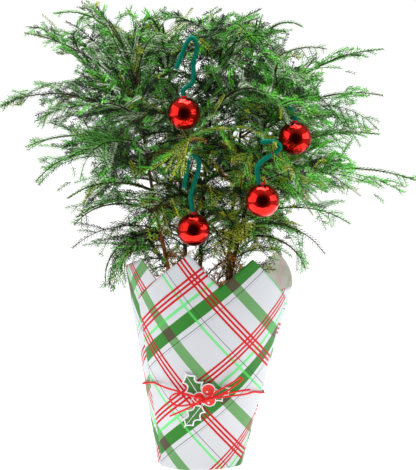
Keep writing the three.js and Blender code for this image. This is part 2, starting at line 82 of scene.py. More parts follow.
# Each stem: its foot, bend and tip, and its arms as height, bearing, reach, rise, turn and bare share.
STEMS = {
    "a": {
        "line": [(-15, -10, 123), (-71, -24, 330), (-85, -32, 500)],
        "arms": [
            (292, 204, 110, 4, 104, 0), (320, 158, 124, 16, 62, 0), (346, 212, 116, 20, 55, 0),
            (374, 186, 150, 28, 82, 0.24), (396, 166, 156, 20, 45, 0), (427, 182, 182, 34, 62, 0.24),
            (456, 173, 166, 48, 40, 0), (476, 158, 154, 80, 94, 0),
        ],
    },
    "b": {
        "line": [(-8, -2, 123), (-8, -6, 400), (26, -4, 545)],
        "arms": [
            (300, 284, 100, 16, 80, 0), (328, 236, 146, 24, 84, 0), (356, 312, 150, 26, 80, 0),
            (388, 258, 176, 34, 92, 0.24), (416, 220, 150, 34, 84, 0), (440, 300, 172, 38, 92, 0),
            (472, 246, 158, 46, 92, 0.24), (498, 282, 136, 58, 92, 0), (516, 196, 96, 62, 84, 0),
        ],
    },
    "c": {
        "line": [(7, -14, 123), (46, -26, 310), (84, -36, 470)],
        "arms": [
            (286, 342, 98, 14, 88, 0), (314, 10, 142, 16, 50, 0), (346, 353, 208, 22, 42, 0.24),
            (372, 298, 152, 26, 88, 0), (388, 8, 152, 24, 32, 0.24), (430, 348, 150, 32, 44, 0),
            (460, 8, 150, 40, 38, 0), (464, 276, 120, 56, 92, 0),
        ],
    },
    "d": {
        "line": [(24, 14, 123), (30, 40, 350), (66, 62, 556)],
        "arms": [
            (306, 64, 132, 18, 66, 0), (340, 28, 140, 20, 52, 0), (374, 86, 172, 22, 52, 0.24),
            (408, 44, 164, 26, 50, 0.24), (444, 72, 158, 32, 52, 0), (480, 18, 122, 46, 60, 0),
            (512, 96, 100, 60, 70, 0), (520, 330, 84, 60, 90, 0),
        ],
    },
    "e": {
        "line": [(-18, 16, 123), (-26, 42, 350), (-54, 70, 552)],
        "arms": [
            (308, 118, 132, 18, 66, 0), (342, 154, 140, 20, 52, 0), (376, 96, 172, 22, 52, 0.24),
            (410, 138, 164, 26, 50, 0.24), (446, 108, 158, 32, 52, 0), (490, 162, 116, 58, 70, 0),
            (512, 250, 110, 60, 84, 0),
        ],
    },
}
ARM_STEPS = 6
ARM_RADII = (1.7, 0.6)
ARM_ROLL = (22, 52)
ARM_SWING = 12  # degrees that an arm may swing sideways by its tip
FORWARD, DROOP, FULL_REACH = 54, 0.2, 165
TWIG_SHARES = (0.05, 0.2, 0.72, 0.95)
TWIG_LENGTHS = (44, 72, 37, 14)
THINNED = ((0.45, 0.75, 1), (1, 0.84, 0.76))  # share of an arm, and of its twigs' length that stays
FORKS = ((0.34, 1), (0.6, -1))  # where a side twig forks, and whether on its own side or the other
LEAST_FORKED = 26  # the shortest side twig that forks
NEEDLE_ROWS = (0, 180, 90)  # degrees round a twig from its spread's plane
SLIM = 0.62  # how thick the arms that no solid shows are, against the others
# Shorter arms beside each of the solids': degrees aside, and the share of its reach.
FILLINGS = ((-38, 0.66), (38, 0.66), (150, 0.44), (-95, 0.5))

# Room that twigs leave round the paper's wall, above its edge, round a ball's middle and round a hook.
PAPER_ROOM, EDGE_ROOM, BALL_ROOM, HOOK_ROOM = 4, 3, 21.5, 5.5
PAPER_SPAN = 104  # how far to each side of its middle the paper is kept free of twigs

# Sprigs low on the stems: stem, height, bearing, reach, rise, turn and whether it has dried.
SPRIGS = [
    ("a", 196, 200, 52, 38, 90, False), ("a", 222, 30, 50, 60, 70, True),
    ("a", 244, 190, 56, 30, 96, False), ("a", 262, 280, 44, 40, 80, True),
    ("a", 258, 170, 40, 15, 80, False), ("a", 250, 215, 36, 5, 60, False),
    ("a", 238, 300, 50, 60, 60, True), ("a", 236, 60, 46, 60, 60, False),
    ("b", 170, 300, 70, 70, 40, True), ("b", 176, 8, 88, 76, 30, True),
    ("b", 190, 345, 84, 70, 40, True), ("b", 196, 240, 64, 66, 50, True),
    ("b", 226, 330, 62, 60, 60, True), ("b", 250, 270, 66, 50, 80, False),
    ("b", 236, 200, 56, 60, 60, True), ("b", 272, 330, 70, 46, 84, False),
    ("b", 292, 260, 74, 55, 70, False), ("b", 318, 304, 78, 50, 70, False),
    ("b", 344, 246, 74, 52, 76, False), ("c", 158, 180, 92, 80, 24, True),
    ("c", 166, 250, 76, 74, 30, True), ("c", 182, 300, 80, 70, 36, True),
    ("c", 176, 200, 60, 74, 30, True), ("c", 190, 190, 56, 70, 40, True),
    ("c", 200, 255, 52, 62, 50, True), ("c", 214, 230, 50, 52, 70, True),
    ("c", 206, 220, 66, 66, 50, True), ("c", 224, 10, 64, 46, 60, False),
    ("c", 244, 260, 66, 56, 80, True), ("c", 262, 350, 74, 34, 76, False),
    ("c", 280, 312, 70, 50, 80, False), ("c", 290, 236, 76, 55, 70, False),
    ("c", 312, 284, 78, 50, 76, False), ("c", 334, 222, 74, 55, 70, False),
    ("c", 352, 262, 74, 50, 80, False), ("d", 216, 20, 60, 46, 70, False),
    ("d", 226, 340, 60, 50, 60, False), ("d", 250, 70, 70, 36, 80, False),
    ("d", 270, 330, 76, 40, 80, False), ("e", 214, 160, 60, 46, 70, False),
    ("e", 252, 110, 70, 36, 80, False), ("e", 272, 210, 76, 40, 80, False),
]

# Arms under the hooks: stem, height, bearing, reach, rise, turn and seed. The heights, bearings and reaches
# were solved by another script, so that each arm passes under the top of its hook.
PERCHES = [
    ("b", 519.1, 250.3, 116, 24, 70, 101), ("c", 453.3, 286.7, 78, 22, 80, 102),
    ("c", 401.7, 276.6, 126, 20, 60, 103), ("b", 381.5, 258.8, 106, 24, 70, 104),
]

# Arms that fill the outline where the solids leave it to their neighbours: as the perches. Most of the rows
# were searched by another script, from tips and bends that were read off the photograph by eye.
EXTRA_ARMS = [
    ("a", 437, 189, 135, 21, 55, 111), ("a", 469, 94, 122, 65, 26, 112), ("e", 492, 104, 128, 64, 84, 113),
    ("a", 298, 189, 113, 11, 54, 114), ("c", 300, 330, 128, 14, 62, 115), ("c", 421, 344, 154, 38, 89, 116),
    ("c", 367, 352, 188, 9, 37, 117), ("d", 459, 292, 128, 75, 46, 118), ("b", 511, 101, 127, 35, 13, 119),
    ("d", 477, 354, 77, 57, 72, 120), ("a", 463, 184, 105, 72, 14, 121), ("a", 430, 165, 169, 47, 10, 122),
    ("a", 285, 181, 100, 0, 106, 151), ("e", 283, 180, 108, 17, 108, 152), ("a", 434, 137, 189, 60, 44, 153),
    ("a", 496, 131, 133, 62, 58, 154), ("e", 471, 164, 117, 70, 22, 155), ("c", 448, 344, 122, 11, 10, 156),
    ("c", 353, 337, 166, 19, 44, 157), ("a", 276, 151, 100, 0, 95, 161), ("a", 250, 223, 95, 54, 115, 162),
    ("c", 423, 280, 142, 27, 29, 163), ("c", 374, 305, 76, 65, 65, 164), ("e", 487, 189, 190, 30, 26, 165),
    ("b", 441, 295, 128, 76, 109, 166), ("a", 292, 192, 64, 0, 88, 133), ("a", 260, 186, 50, 24, 84, 134),
    ("a", 364, 183, 152, 34, 92, 135), ("a", 387, 222, 135, 37, 115, 136), ("a", 470, 172, 172, 15, 54, 137),
    ("c", 206, 14, 114, 75, 21, 138), ("c", 284, 21, 90, 36, 62, 139), ("a", 330, 184, 98, 12, 52, 143),
]

# Windows of the front view that twigs keep out of: middle across and up, half width and half height. They
# were read off the photograph by eye in pixels, and another script turned them into millimetres.
OPENINGS = [
    (-172, 569, 15, 10), (-215, 524, 12, 8), (-184, 506, 20, 5), (-184, 485, 16, 8), (-166, 500, 10, 5),
    (-225, 470, 15, 4), (-196, 480, 18, 5), (-231, 442, 15, 4), (-196, 413, 25, 5), (-196, 390, 22, 6),
    (-186, 355, 14, 10), (-151, 369, 11, 8), (-214, 360, 6, 5), (-164, 333, 15, 10), (-114, 309, 10, 6),
    (-135, 243, 9, 18), (-159, 280, 9, 6), (-144, 266, 12, 6), (-84, 346, 18, 5), (-62, 576, 15, 4),
    (99, 553, 18, 8), (34, 570, 18, 5), (126, 528, 12, 8), (158, 526, 10, 4), (64, 575, 9, 5),
    (212, 523, 14, 6), (205, 502, 12, 5), (175, 478, 5, 8), (206, 448, 12, 6), (188, 390, 14, 6),
    (209, 409, 6, 8), (214, 379, 18, 5), (250, 373, 18, 6), (204, 343, 11, 9), (231, 340, 10, 8),
    (156, 333, 28, 4), (135, 295, 11, 6), (136, 273, 10, 12), (175, 305, 11, 5), (105, 236, 8, 28),
    (66, 258, 10, 5), (-166, 552, 8, 12), (-148, 533, 8, 10), (-96, 549, 9, 10), (-112, 568, 8, 8),
    (-178, 495, 18, 6), (-215, 445, 11, 10), (-172, 365, 6, 11), (-152, 374, 9, 15), (-135, 309, 8, 11),
    (-115, 314, 15, 10), (-85, 349, 19, 6), (102, 549, 22, 8), (106, 523, 6, 8), (135, 526, 18, 5),
    (216, 519, 11, 6), (154, 486, 6, 8), (156, 470, 8, 8), (215, 465, 10, 8), (194, 442, 25, 6),
    (225, 426, 6, 9), (194, 380, 6, 8), (204, 368, 9, 9), (231, 378, 9, 6), (250, 362, 12, 5),
    (228, 363, 8, 8), (185, 330, 9, 11), (210, 328, 11, 5), (119, 308, 15, 8), (138, 284, 16, 8),
    (146, 270, 10, 9), (138, 255, 6, 8), (104, 268, 9, 10), (90, 286, 8, 6), (-78, 302, 6, 6),
    (-159, 268, 8, 6), (-122, 253, 6, 22),
]

# Balls: the middle, how far across and up from it each of the hook's points is, from the cap to the free end,
# and the share of the hook that no twig hangs in front of.
BALLS = [
    (
        (-25.0, -91.0, 441.5),
        [(0, 19), (-1, 27), (4, 32), (9.6, 36), (11.4, 47), (11.4, 61), (15, 73), (15.6, 81), (13, 88)]
        + [(8.5, 90), (4, 85), (0, 76), (-5, 64), (-9.5, 53)],
        1,
    ),
    (
        (107.8, -95.0, 412.0),
        [(2, 19), (-1.3, 27), (-4.9, 34), (-6.2, 41), (-9.8, 46), (-14.5, 43), (-15.7, 37)]
        + [(-12.1, 31), (-8.5, 27)],
        0.4,
    ),
    (
        (67.8, -138.0, 340.5),
        [(-3.5, 19), (-5.5, 27.6), (-6.5, 37), (-3.5, 43.5), (3, 49), (11, 53.8), (18, 58.5), (20.5, 64)]
        + [(14.6, 68.5), (6.4, 69.3), (-2, 68.7)],
        0.5,
    ),
    (
        (-13.7, -91.0, 302.2),
        [(0.6, 19.5), (-2.4, 29.5), (-3.6, 40.4), (-0.6, 51), (2.5, 60), (6, 71.6), (6.7, 81), (3.7, 86.6)]
        + [(-1, 88), (-5.3, 82.4), (-7.7, 71.6), (-9.5, 60), (-11.4, 50)],
        1,
    ),
]


def linear(red, green, blue):
    """A display colour, 0 to 255, as the linear colour that a socket takes."""
    parts = [c / 255 for c in (red, green, blue)]
    return (*[c / 12.92 if c <= 0.04045 else ((c + 0.055) / 1.055) ** 2.4 for c in parts], 1.0)


def colour(name, description, *rgb):
    return bpy.props.FloatVectorProperty(
        name=name, description=description, subtype="COLOR", size=4, min=0, max=1, default=linear(*rgb)
    )


def size(name, description, millimetres):
    return bpy.props.FloatProperty(
        name=name, description=description, default=millimetres * MM, min=0, unit="LENGTH", precision=5
    )


def power(name, description, watts):
    return bpy.props.FloatProperty(name=name, description=description, default=watts, min=0, unit="POWER")


# ---- Settings that a user would change ----


class PineFoliageSettings(bpy.types.PropertyGroup):
    """Needles and twigs"""

    needle_length: size("Needle length", "Length of a full needle", 5.2)
    needle_width: size("Needle width", "Widest part of a needle", 1.5)
    needle_pitch: size("Needle pitch", "Length of twig that each needle takes", 1.3)
    twig_pitch: size("Twig pitch", "Distance between side twigs on one side of an arm", 10.4)
    fresh: colour("Fresh", "New growth at the tips", 116, 234, 64)
    mid: colour("Mid green", "Most of the needles", 110, 198, 82)
    # Partly painted shade: old needles, darkened to near-black green and used most inside the plant where
    # shade falls, and less on its right side.
    deep: colour("Deep green", "Old needles inside the plant", 15, 42, 15)
    olive: colour("Olive", "Yellowing needles low in the middle", 192, 206, 56)
    # Painted sheen: a pale grey-green tint that stands in for the needles' glossy highlights, used most on
    # the outer sprays.
    dusty: colour("Dusty green", "Needles with a grey bloom", 208, 228, 194)
    dry: colour("Dry", "Dead needles", 212, 142, 70)
    twig: colour("Twig", "Young twigs", 62, 84, 34)


class PineStemSettings(bpy.types.PropertyGroup):
    """Stems and boughs"""

    relief: bpy.props.FloatProperty(
        name="Bark relief", description="Height of the bark, by share of the radius", default=0.14, min=0
    )
    dark: colour("Dark bark", "The colour in the warm bark's furrows", 150, 84, 42)
    light: colour("Light bark", "The colour of the dark bark's ridges", 150, 98, 50)


class PineWrapSettings(bpy.types.PropertyGroup):
    """The paper round the pot"""

    thickness: size("Paper thickness", "Thickness of the wrapping paper", 0.3)
    repeat: size("Plaid repeat", "Distance after which the plaid starts again", 104)
    ground: colour("Ground", "The paper between the stripes", 216, 218, 222)
    forest: colour("Wide stripe", "The wide stripe that rises to the right", 46, 128, 38)
    leaf: colour("Second wide stripe", "The wide stripe that falls to the right", 106, 160, 98)
    mint: colour("Light stripe", "The narrow light green stripes", 122, 226, 140)
    scarlet: colour("Thin stripes", "The three thin stripes", 204, 8, 26)
    inside: colour("Inside", "The paper's unprinted side", 224, 216, 212)


class PineTrimSettings(bpy.types.PropertyGroup):
    """Twine, tag, balls and their hooks"""

    twine_diameter: size("Twine diameter", "Diameter of the twisted twine", 2.6)
    twine: colour("Twine", "The twine's colour", 252, 18, 26)
    tag_leaf: colour("Tag leaves", "The printed leaves of the tag", 66, 124, 58)
    tag_berry: colour("Tag berries", "The printed berries of the tag", 238, 62, 52)
    ball_diameter: size("Ball diameter", "Diameter of a glass ball", 40)
    ball: colour("Ball", "The colour of the mirrored glass", 246, 34, 26)
    chenille_width: size("Chenille width", "Width of the fuzzy hooks", 7.6)
    chenille: colour("Chenille", "The colour of the fuzzy hooks", 18, 172, 142)


class PinePotSettings(bpy.types.PropertyGroup):
    """The grower's pot and what fills it"""

    plastic: colour("Pot", "The pot's plastic", 34, 33, 34)
    mix: colour("Potting mix", "The peat in the pot", 58, 40, 28)
    perlite: colour("Perlite", "The white grains in the mix", 222, 219, 208)


class PineStageSettings(bpy.types.PropertyGroup):
    """Floor, lights and camera"""

    distance: size("Camera distance", "From the camera to the plant", EYE_FAR)
    elevation: bpy.props.FloatProperty(
        name="Camera elevation", description="Above the horizon", default=math.radians(5), unit="ROTATION"
    )
    lens: bpy.props.FloatProperty(name="Lens", description="Focal length in millimetres", default=147)
    key: power("Key light", "Power of the large left light", 11.5)
    fill: power("Fill light", "Power of the right light", 9.5)
    front: power("Front light", "Power of the front light", 12)
    top: power("Top light", "Power of the overhead light", 60)


SETTINGS = {
    "pine_foliage": PineFoliageSettings,
    "pine_stems": PineStemSettings,
    "pine_wrap": PineWrapSettings,
    "pine_trim": PineTrimSettings,
    "pine_pot": PinePotSettings,
    "pine_stage": PineStageSettings,
}


# ---- Materials ----


class Signal:
    """A shader socket used in Python sums. Each sum adds a Math node to its tree."""

    def __init__(self, tree, socket):
        self.tree, self.socket = tree, socket

    def math(self, operation, *others):
        return self.tree.node("ShaderNodeMath", {"operation": operation}, dict(enumerate((self, *others))))

    def __add__(self, other):
        return self.math("ADD", other)

    def __sub__(self, other):
        return self.math("SUBTRACT", other)

    def __rsub__(self, other):
        return self.tree.node("ShaderNodeMath", {"operation": "SUBTRACT"}, {0: other, 1: self})

    def __mul__(self, other):
        return self.math("MULTIPLY", other)

    def __truediv__(self, other):
        return self.math("DIVIDE", other)

    def __lt__(self, other):
        return self.math("LESS_THAN", other)

    def __abs__(self):
        return self.math("ABSOLUTE")

    __radd__, __rmul__ = __add__, __mul__

    def either(self, other):
        return self.math("MAXIMUM", other)

    def within(self, centre, width):
        """1 in a stripe of this width round centre, and 0 outside it."""
        return abs(self - centre) < width / 2

    def repeated(self, centre, width, repeat):
        """1 in stripes of this width that come back at every repeat."""
        return abs(((self - centre) / repeat + 0.5).math("FRACT") - 0.5) < width / 2 / repeat


class Tree:
    """A tree of shader nodes being built."""

    def __init__(self, tree):
        self.nodes, self.links = tree.nodes, tree.links

    def feed(self, socket, value):
        if isinstance(value, Signal):
            self.links.new(value.socket, socket)
        else:
            socket.default_value = value

    def node(self, kind, settings=None, sockets=None, output=0):
        """Adds a node: first its settings, then its sockets' values or links. Gives one of its outputs."""
        node = self.nodes.new(kind)
        for key, value in (settings or {}).items():
            if key == "stops":
                ramp = node.color_ramp.elements
                while len(ramp) < len(value):
                    ramp.new(0.5)
                for stop, (position, rgba) in zip(ramp, value):
                    stop.position, stop.color = position, rgba
            else:
                setattr(node, key, value)
        for key, value in (sockets or {}).items():
            self.feed(node.inputs[key], value)
        return Signal(self, node.outputs[output])

    def mix(self, share, first, second):
        return self.node("ShaderNodeMix", {"data_type": "RGBA"}, {0: share, 6: first, 7: second}, output=2)

    def ramp(self, share, *stops):
        return self.node("ShaderNodeValToRGB", {"stops": stops}, {0: share})


class Finish(Tree):
    """A material being built from nodes."""

    def __init__(self, name, **sockets):
        self.material = bpy.data.materials.new(name)
        self.material.use_nodes = True
        super().__init__(self.material.node_tree)
        self.shader = self.nodes["Principled BSDF"]
        self.set(**sockets)

    def set(self, **sockets):
        """Feeds the shader's sockets, named in lower case with underscores."""
        for name, value in sockets.items():
            self.feed(self.shader.inputs[name.replace("_", " ").title().replace("Ior", "IOR")], value)
        return self

    def place(self):
        return self.node("ShaderNodeTexCoord", output=3)

    def sheet_place(self, name):
        """Two coordinates of a flat map, in millimetres."""
        flat = self.node("ShaderNodeUVMap", {"uv_map": name})
        return [self.node("ShaderNodeSeparateXYZ", None, {0: flat}, output=i) for i in (0, 1)]

    def noise(self, scale, detail=3.0, roughness=0.55, vector=None, distortion=0.0):
        sockets = {"Scale": scale, "Detail": detail, "Roughness": roughness, "Distortion": distortion}
        return self.node("ShaderNodeTexNoise", None, {"Vector": vector or self.place(), **sockets})

    def bump(self, height, distance, strength=1.0):
        """Raises the surface by a height of 0 to 1 over some millimetres."""
        sockets = {"Height": height, "Distance": distance * MM, "Strength": strength}
        self.set(normal=self.node("ShaderNodeBump", None, sockets))
        return self


def shade(rgba, factor):
    return (*[min(1, c * factor) for c in rgba[:3]], 1.0)


def needle_finish(name, rgba):
    return Finish(name, base_color=tuple(rgba), roughness=0.4, specular_ior_level=0.45).material


def bark_finish(name, dark, light, low, high, fade=None):
    """Bark in two tones. Between two heights it may fade to a third."""
    finish = Finish(name, roughness=0.82, specular_ior_level=0.25)
    stretched = finish.node("ShaderNodeMapping", None, {"Vector": finish.place(), "Scale": (1, 1, 0.28)})
    coarse = finish.noise(190, 5, 0.65, stretched)
    fine = finish.noise(1500, 2, 0.6)
    tone = finish.ramp(coarse * 0.8 + fine * 0.2, (low, tuple(dark)), (high, tuple(light)))
    if fade:
        start, end, upper = fade
        height = finish.node("ShaderNodeSeparateXYZ", None, {0: finish.place()}, output=2)
        share = (height - start * MM) / ((end - start) * MM) + (coarse - 0.5) * 0.8
        tone = finish.mix(share, tone, upper)
    finish.set(base_color=tone)
    return finish.bump(coarse * 0.7 + fine * 0.3, 0.5).material


# The plaid's stripes by the way they run, over a repeat: their middle and width in millimetres.
RISING = {"wide": (167.5, 15.5), "mint": (184, 3.9), "hair": (153.2, 0.75), "faint": (150.4, 0.6)}
FALLING = {"wide": (74.1, 13.5), "mint": (114.9, 3.2), "hair": (121.6, 0.75)}
SCARLET_RISING, SCARLET_FALLING, SCARLET_WIDTH = 200, 146.5, 2.8
SCARLET_OFFSETS = (-5.2, 0, 5.2)  # the three thin stripes beside one another
EDGE_LINE = (229.6, 1.5)  # one thin stripe along the paper's edge


def plaid_finish(name, s, inside=False):
    """Printed plaid on the paper's flat map. Inside, the print only shows through, and the sheet glows with
    painted light that stands for light coming through the paper.
    """
    finish = Finish(name, roughness=0.5, specular_ior_level=0.22)
    across, up = finish.sheet_place("flat")
    rise, fall = math.radians(40), math.radians(50)
    rising = up * math.cos(rise) - across * math.sin(rise)
    falling = up * math.cos(fall) + across * math.sin(fall)
    pitch = s.repeat / MM
    up_stripes = {kind: rising.repeated(*stripe, pitch) for kind, stripe in RISING.items()}
    down_stripes = {kind: falling.repeated(*stripe, pitch) for kind, stripe in FALLING.items()}
    wide, mint, hair = (up_stripes[kind].either(down_stripes[kind]) for kind in ("wide", "mint", "hair"))
    scarlet = rising.within(*EDGE_LINE)
    for offset in SCARLET_OFFSETS:
        scarlet = scarlet.either(rising.repeated(SCARLET_RISING + offset, SCARLET_WIDTH, pitch))
        scarlet = scarlet.either(falling.repeated(SCARLET_FALLING + offset, SCARLET_WIDTH, pitch))
    inks = (
        (down_stripes["wide"], tuple(s.leaf)),
        (up_stripes["wide"], tuple(s.forest)),
        (up_stripes["wide"] * down_stripes["wide"], linear(80, 72, 50)),
        (mint, tuple(s.mint)),
        (mint * wide, linear(74, 192, 78)),
        (up_stripes["faint"] * 0.5, linear(150, 156, 160)),
        (hair, linear(58, 62, 60)),
        (scarlet, tuple(s.scarlet)),
        (scarlet * wide, linear(160, 26, 30)),
    )
    tone = finish.mix(finish.noise(14, 2), tuple(s.ground), shade(s.ground, 0.93))
    for share, ink in inks:
        tone = finish.mix(share, tone, ink)
    if inside:
        tone = finish.mix(0.8, tone, tuple(s.inside))
        # Painted light: the inside glows with its own tone, standing in for light that passes through the
        # paper.
        finish.set(emission_color=tone, emission_strength=0.42)
    finish.set(base_color=tone)
    crease = finish.noise(26, 4, 0.5, distortion=0.6)
    grain = finish.noise(900, 2)
    return finish.bump(crease * 0.9 + grain * 0.1, 1.6, 0.5).material


def plastic_finish(name, rgba, roughness=0.45, scale=300):
    finish = Finish(name, base_color=tuple(rgba), specular_ior_level=0.45)
    grain = finish.noise(scale, 3)
    finish.set(roughness=grain * 0.2 + (roughness - 0.1))
    return finish.bump(grain, 0.15, 0.5).material


def mottled_finish(name, rgba, roughness=0.9, scale=400, spread=0.45, depth=0.4):
    finish = Finish(name, roughness=roughness, specular_ior_level=0.2)
    grain = finish.noise(scale, 4, 0.65)
    finish.set(base_color=finish.ramp(grain, (0.3, shade(rgba, 1 - spread)), (0.72, shade(rgba, 1 + spread))))
    return finish.bump(grain, depth).material


# ---- Meshes ----


def finished(name, mesh, materials, stands_for=(), smooth=True):
    """Makes a mesh a piece of the plant that rides on its body."""
    thing = bpy.data.objects.new(name, mesh)
    bpy.context.scene.collection.objects.link(thing)
    for material in materials:
        mesh.materials.append(material)
    if smooth:
        mesh.shade_smooth()
    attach(thing, "root")
    if stands_for:
        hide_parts(*stands_for)
    return thing


def from_bmesh(name, bm):
    """The mesh of a bmesh that was worked in millimetres, with its faces pointing outwards."""
    bmesh.ops.remove_doubles(bm, verts=bm.verts, dist=1e-4)
    bmesh.ops.recalc_face_normals(bm, faces=bm.faces)
    bmesh.ops.scale(bm, vec=(MM,) * 3, verts=bm.verts)
    mesh = bpy.data.meshes.new(name)
    bm.to_mesh(mesh)
    bm.free()
    return mesh


def from_arrays(name, parts, tints=None):
    """One mesh from many (points, triangles) parts in millimetres, with a material number for each part."""
    counts = np.cumsum([0] + [len(points) for points, _ in parts])
    points = np.concatenate([points for points, _ in parts]) * MM
    faces = np.concatenate([triangles + start for (_, triangles), start in zip(parts, counts)])
    mesh = bpy.data.meshes.new(name)
    mesh.from_pydata(points.tolist(), [], faces.tolist())
    if tints is not None:
        numbers = np.repeat(tints, [len(triangles) for _, triangles in parts])
        mesh.polygons.foreach_set("material_index", numbers.astype(np.int32))
    return mesh


def lerp(a, b, share):
    return a + (b - a) * share


def vary(a, b):
    """The same two numbers always give the same value from -1 to 1."""
    value = math.sin(a * 127.1 + b * 311.7) * 43758.5453
    return (value - math.floor(value)) * 2 - 1


def unit(vectors):
    return vectors / np.linalg.norm(vectors, axis=-1, keepdims=True)


def circle(count):
    """Angles at even steps round a circle."""
    return np.linspace(0, 2 * np.pi, count, endpoint=False)


class Path:
    """A line in space, read by share of its length."""

    def __init__(self, points):
        self.points = np.asarray(points, float)
        steps = np.linalg.norm(np.diff(self.points, axis=0), axis=1)
        self.shares = np.concatenate([[0], np.cumsum(steps)])
        self.length = self.shares[-1]
        self.shares /= self.length

    def at(self, share):
        return np.stack([np.interp(share, self.shares, self.points[:, i]) for i in range(3)], axis=-1)

    def heading(self, share):
        reach = 1 / len(self.points)
        return unit(self.at(np.minimum(share + reach, 1)) - self.at(np.maximum(share - reach, 0)))


def through(points, steps=8, closed=False):
    """A path through some points, rounded between them."""
    points = np.asarray(points, float)
    if closed:
        ends = np.vstack([points[-1:], points, points[:2]])
    else:
        ends = np.vstack([2 * points[0] - points[1], points, 2 * points[-1] - points[-2]])
    t = np.linspace(0, 1, steps, endpoint=False)[:, None]
    runs = [
        0.5 * (2 * b + (c - a) * t + (2 * a - 5 * b + 4 * c - d) * t**2 + (3 * b - a - 3 * c + d) * t**3)
        for a, b, c, d in zip(ends, ends[1:], ends[2:], ends[3:])
    ]
    return Path(np.vstack(runs + [points[:1] if closed else points[-1:]]))


def bowed(start, middle, end, steps=24):
    t = np.linspace(0, 1, steps + 1)[:, None]
    start, middle, end = (np.asarray(p, float) for p in (start, middle, end))
    return Path((1 - t) ** 2 * start + 2 * (1 - t) * t * middle + t * t * end)


def rings(path, shares):
    """Points, headings and two crosswise directions along a path, turned as little as possible."""
    points, headings = path.at(shares), path.heading(shares)
    side = np.cross(headings[0], (0, 0, 1) if abs(headings[0][2]) < 0.9 else (1, 0, 0))
    sides = []
    for heading in headings:
        side = side - heading * (side @ heading)
        side = side / np.linalg.norm(side)
        sides.append(side)
    sides = np.array(sides)
    return points, headings, sides, np.cross(headings, sides)


def tube(path, radii, sides, closed=False):
    """Points and triangles of a round bar along a path, with a radius at each even step."""
    count = len(radii)
    shares = np.linspace(0, 1, count, endpoint=not closed)
    points, _, first, second = rings(path, shares)
    turn = circle(sides)
    spokes = first[:, None] * np.cos(turn)[None, :, None] + second[:, None] * np.sin(turn)[None, :, None]
    corners = points[:, None] + spokes * np.asarray(radii)[:, None, None]
    step, around = np.meshgrid(np.arange(count if closed else count - 1), np.arange(sides), indexing="ij")
    a = step * sides + around
    b = step * sides + (around + 1) % sides
    c = (step + 1) % count * sides + (around + 1) % sides
    d = (step + 1) % count * sides + around
    faces = [np.stack([a, b, c], -1).reshape(-1, 3), np.stack([a, c, d], -1).reshape(-1, 3)]
    if not closed:
        fan = np.array([(0, i + 1, i) for i in range(1, sides - 1)])
        faces += [fan, fan[:, ::-1] + (count - 1) * sides]
    return corners.reshape(-1, 3), np.concatenate(faces)


# ---- The plant's rule: stems, arms, side twigs and needles ----


class Arm:
    """A limb that leaves a stem at its rise and turns steadily downwards, with a flat spread of twigs."""

    def __init__(self, stem, height, bearing, reach, rise, turn, bare, seed):
        out = np.array([math.cos(math.radians(bearing)), math.sin(math.radians(bearing)), 0])
        share = np.interp(height, stem.points[:, 2], stem.shares)
        points = [stem.at(share) + out * STEM_CLEAR]
        for step in range(ARM_STEPS):
            share = (step + 0.5) / ARM_STEPS
            pitch = math.radians(rise - turn * share**1.3)
            yaw = math.radians(bearing + ARM_SWING * share * vary(reach, 5))
            stride = (math.cos(yaw) * math.cos(pitch), math.sin(yaw) * math.cos(pitch), math.sin(pitch))
            points.append(points[-1] + np.array(stride) * reach / ARM_STEPS)
        self.path = through(points)
        self.length = self.path.length
        self.size = min(1, self.length / FULL_REACH)
        self.seed, self.bare = seed, bare
        self.roll = math.radians(lerp(*ARM_ROLL, abs(vary(seed, 7)))) * (1 if vary(seed, 8) > 0 else -1)

    def frame(self, share):
        """The arm's point at a share of its length, its heading, and its spread's direction and facing."""
        heading = self.path.heading(share)
        level = unit(np.cross((0, 0, 1), heading))
        facing = np.cross(heading, level)
        across = level * math.cos(self.roll) + facing * math.sin(self.roll)
        return self.path.at(share), heading, across, np.cross(heading, across)

    def side_twigs(self, pitch):
        """Its side twigs and the finer twigs on those, each as its path, facing, length and share."""
        start = max(TWIG_SHARES[0], self.bare * 0.6)
        step = pitch / self.length
        for side in (-1, 1):
            shares = np.arange(start + step * (side > 0) / 2, TWIG_SHARES[-1], step)
            for order, share in enumerate(shares):
                seed = self.seed + 31 * order + 7 * side
                share = max(0.02, share + step * 0.3 * vary(seed, 9))
                length = np.interp(share, TWIG_SHARES, TWIG_LENGTHS) * self.size
                length *= (0.95 + 0.3 * vary(seed, 3)) * np.interp(share, *THINNED)
                twig, facing = self.side_twig(side, share, length, seed)
                yield twig, facing, length, share
                for spot, way in FORKS:
                    if length < LEAST_FORKED or vary(seed, spot * 9) < -0.2:
                        continue
                    fork, along = twig.at(spot), twig.heading(spot)
                    outward = unit(np.cross(facing, along)) * side * way
                    short = length * (0.36 + 0.1 * vary(seed, spot * 5))
                    bend = fork + (along * 0.6 + outward * 0.75) * short * 0.5
                    tip = fork + (along * 0.72 + outward * 0.66) * short - np.array([0, 0, 0.1 * short])
                    yield bowed(fork, bend, tip, 5), facing, short, share

    def side_twig(self, side, share, length, seed):
        """One side twig, which leaves forwards, bows and hangs a little: its path and its spread's facing."""
        point, heading, across, facing = self.frame(share)
        turn = math.radians(FORWARD + 11 * vary(seed, 1))
        aim = heading * math.cos(turn) + across * side * math.sin(turn) + facing * 0.3 * vary(seed, 2)
        root = point + across * side * lerp(*ARM_RADII, share) * 0.5
        curl = heading * (0.12 + 0.2 * vary(seed, 4)) * length
        end = root + aim * length + curl - np.array([0, 0, DROOP * length * (1 + 1.1 * vary(seed, 6))])
        return bowed(root, root + aim * length * 0.5, end, 8), facing


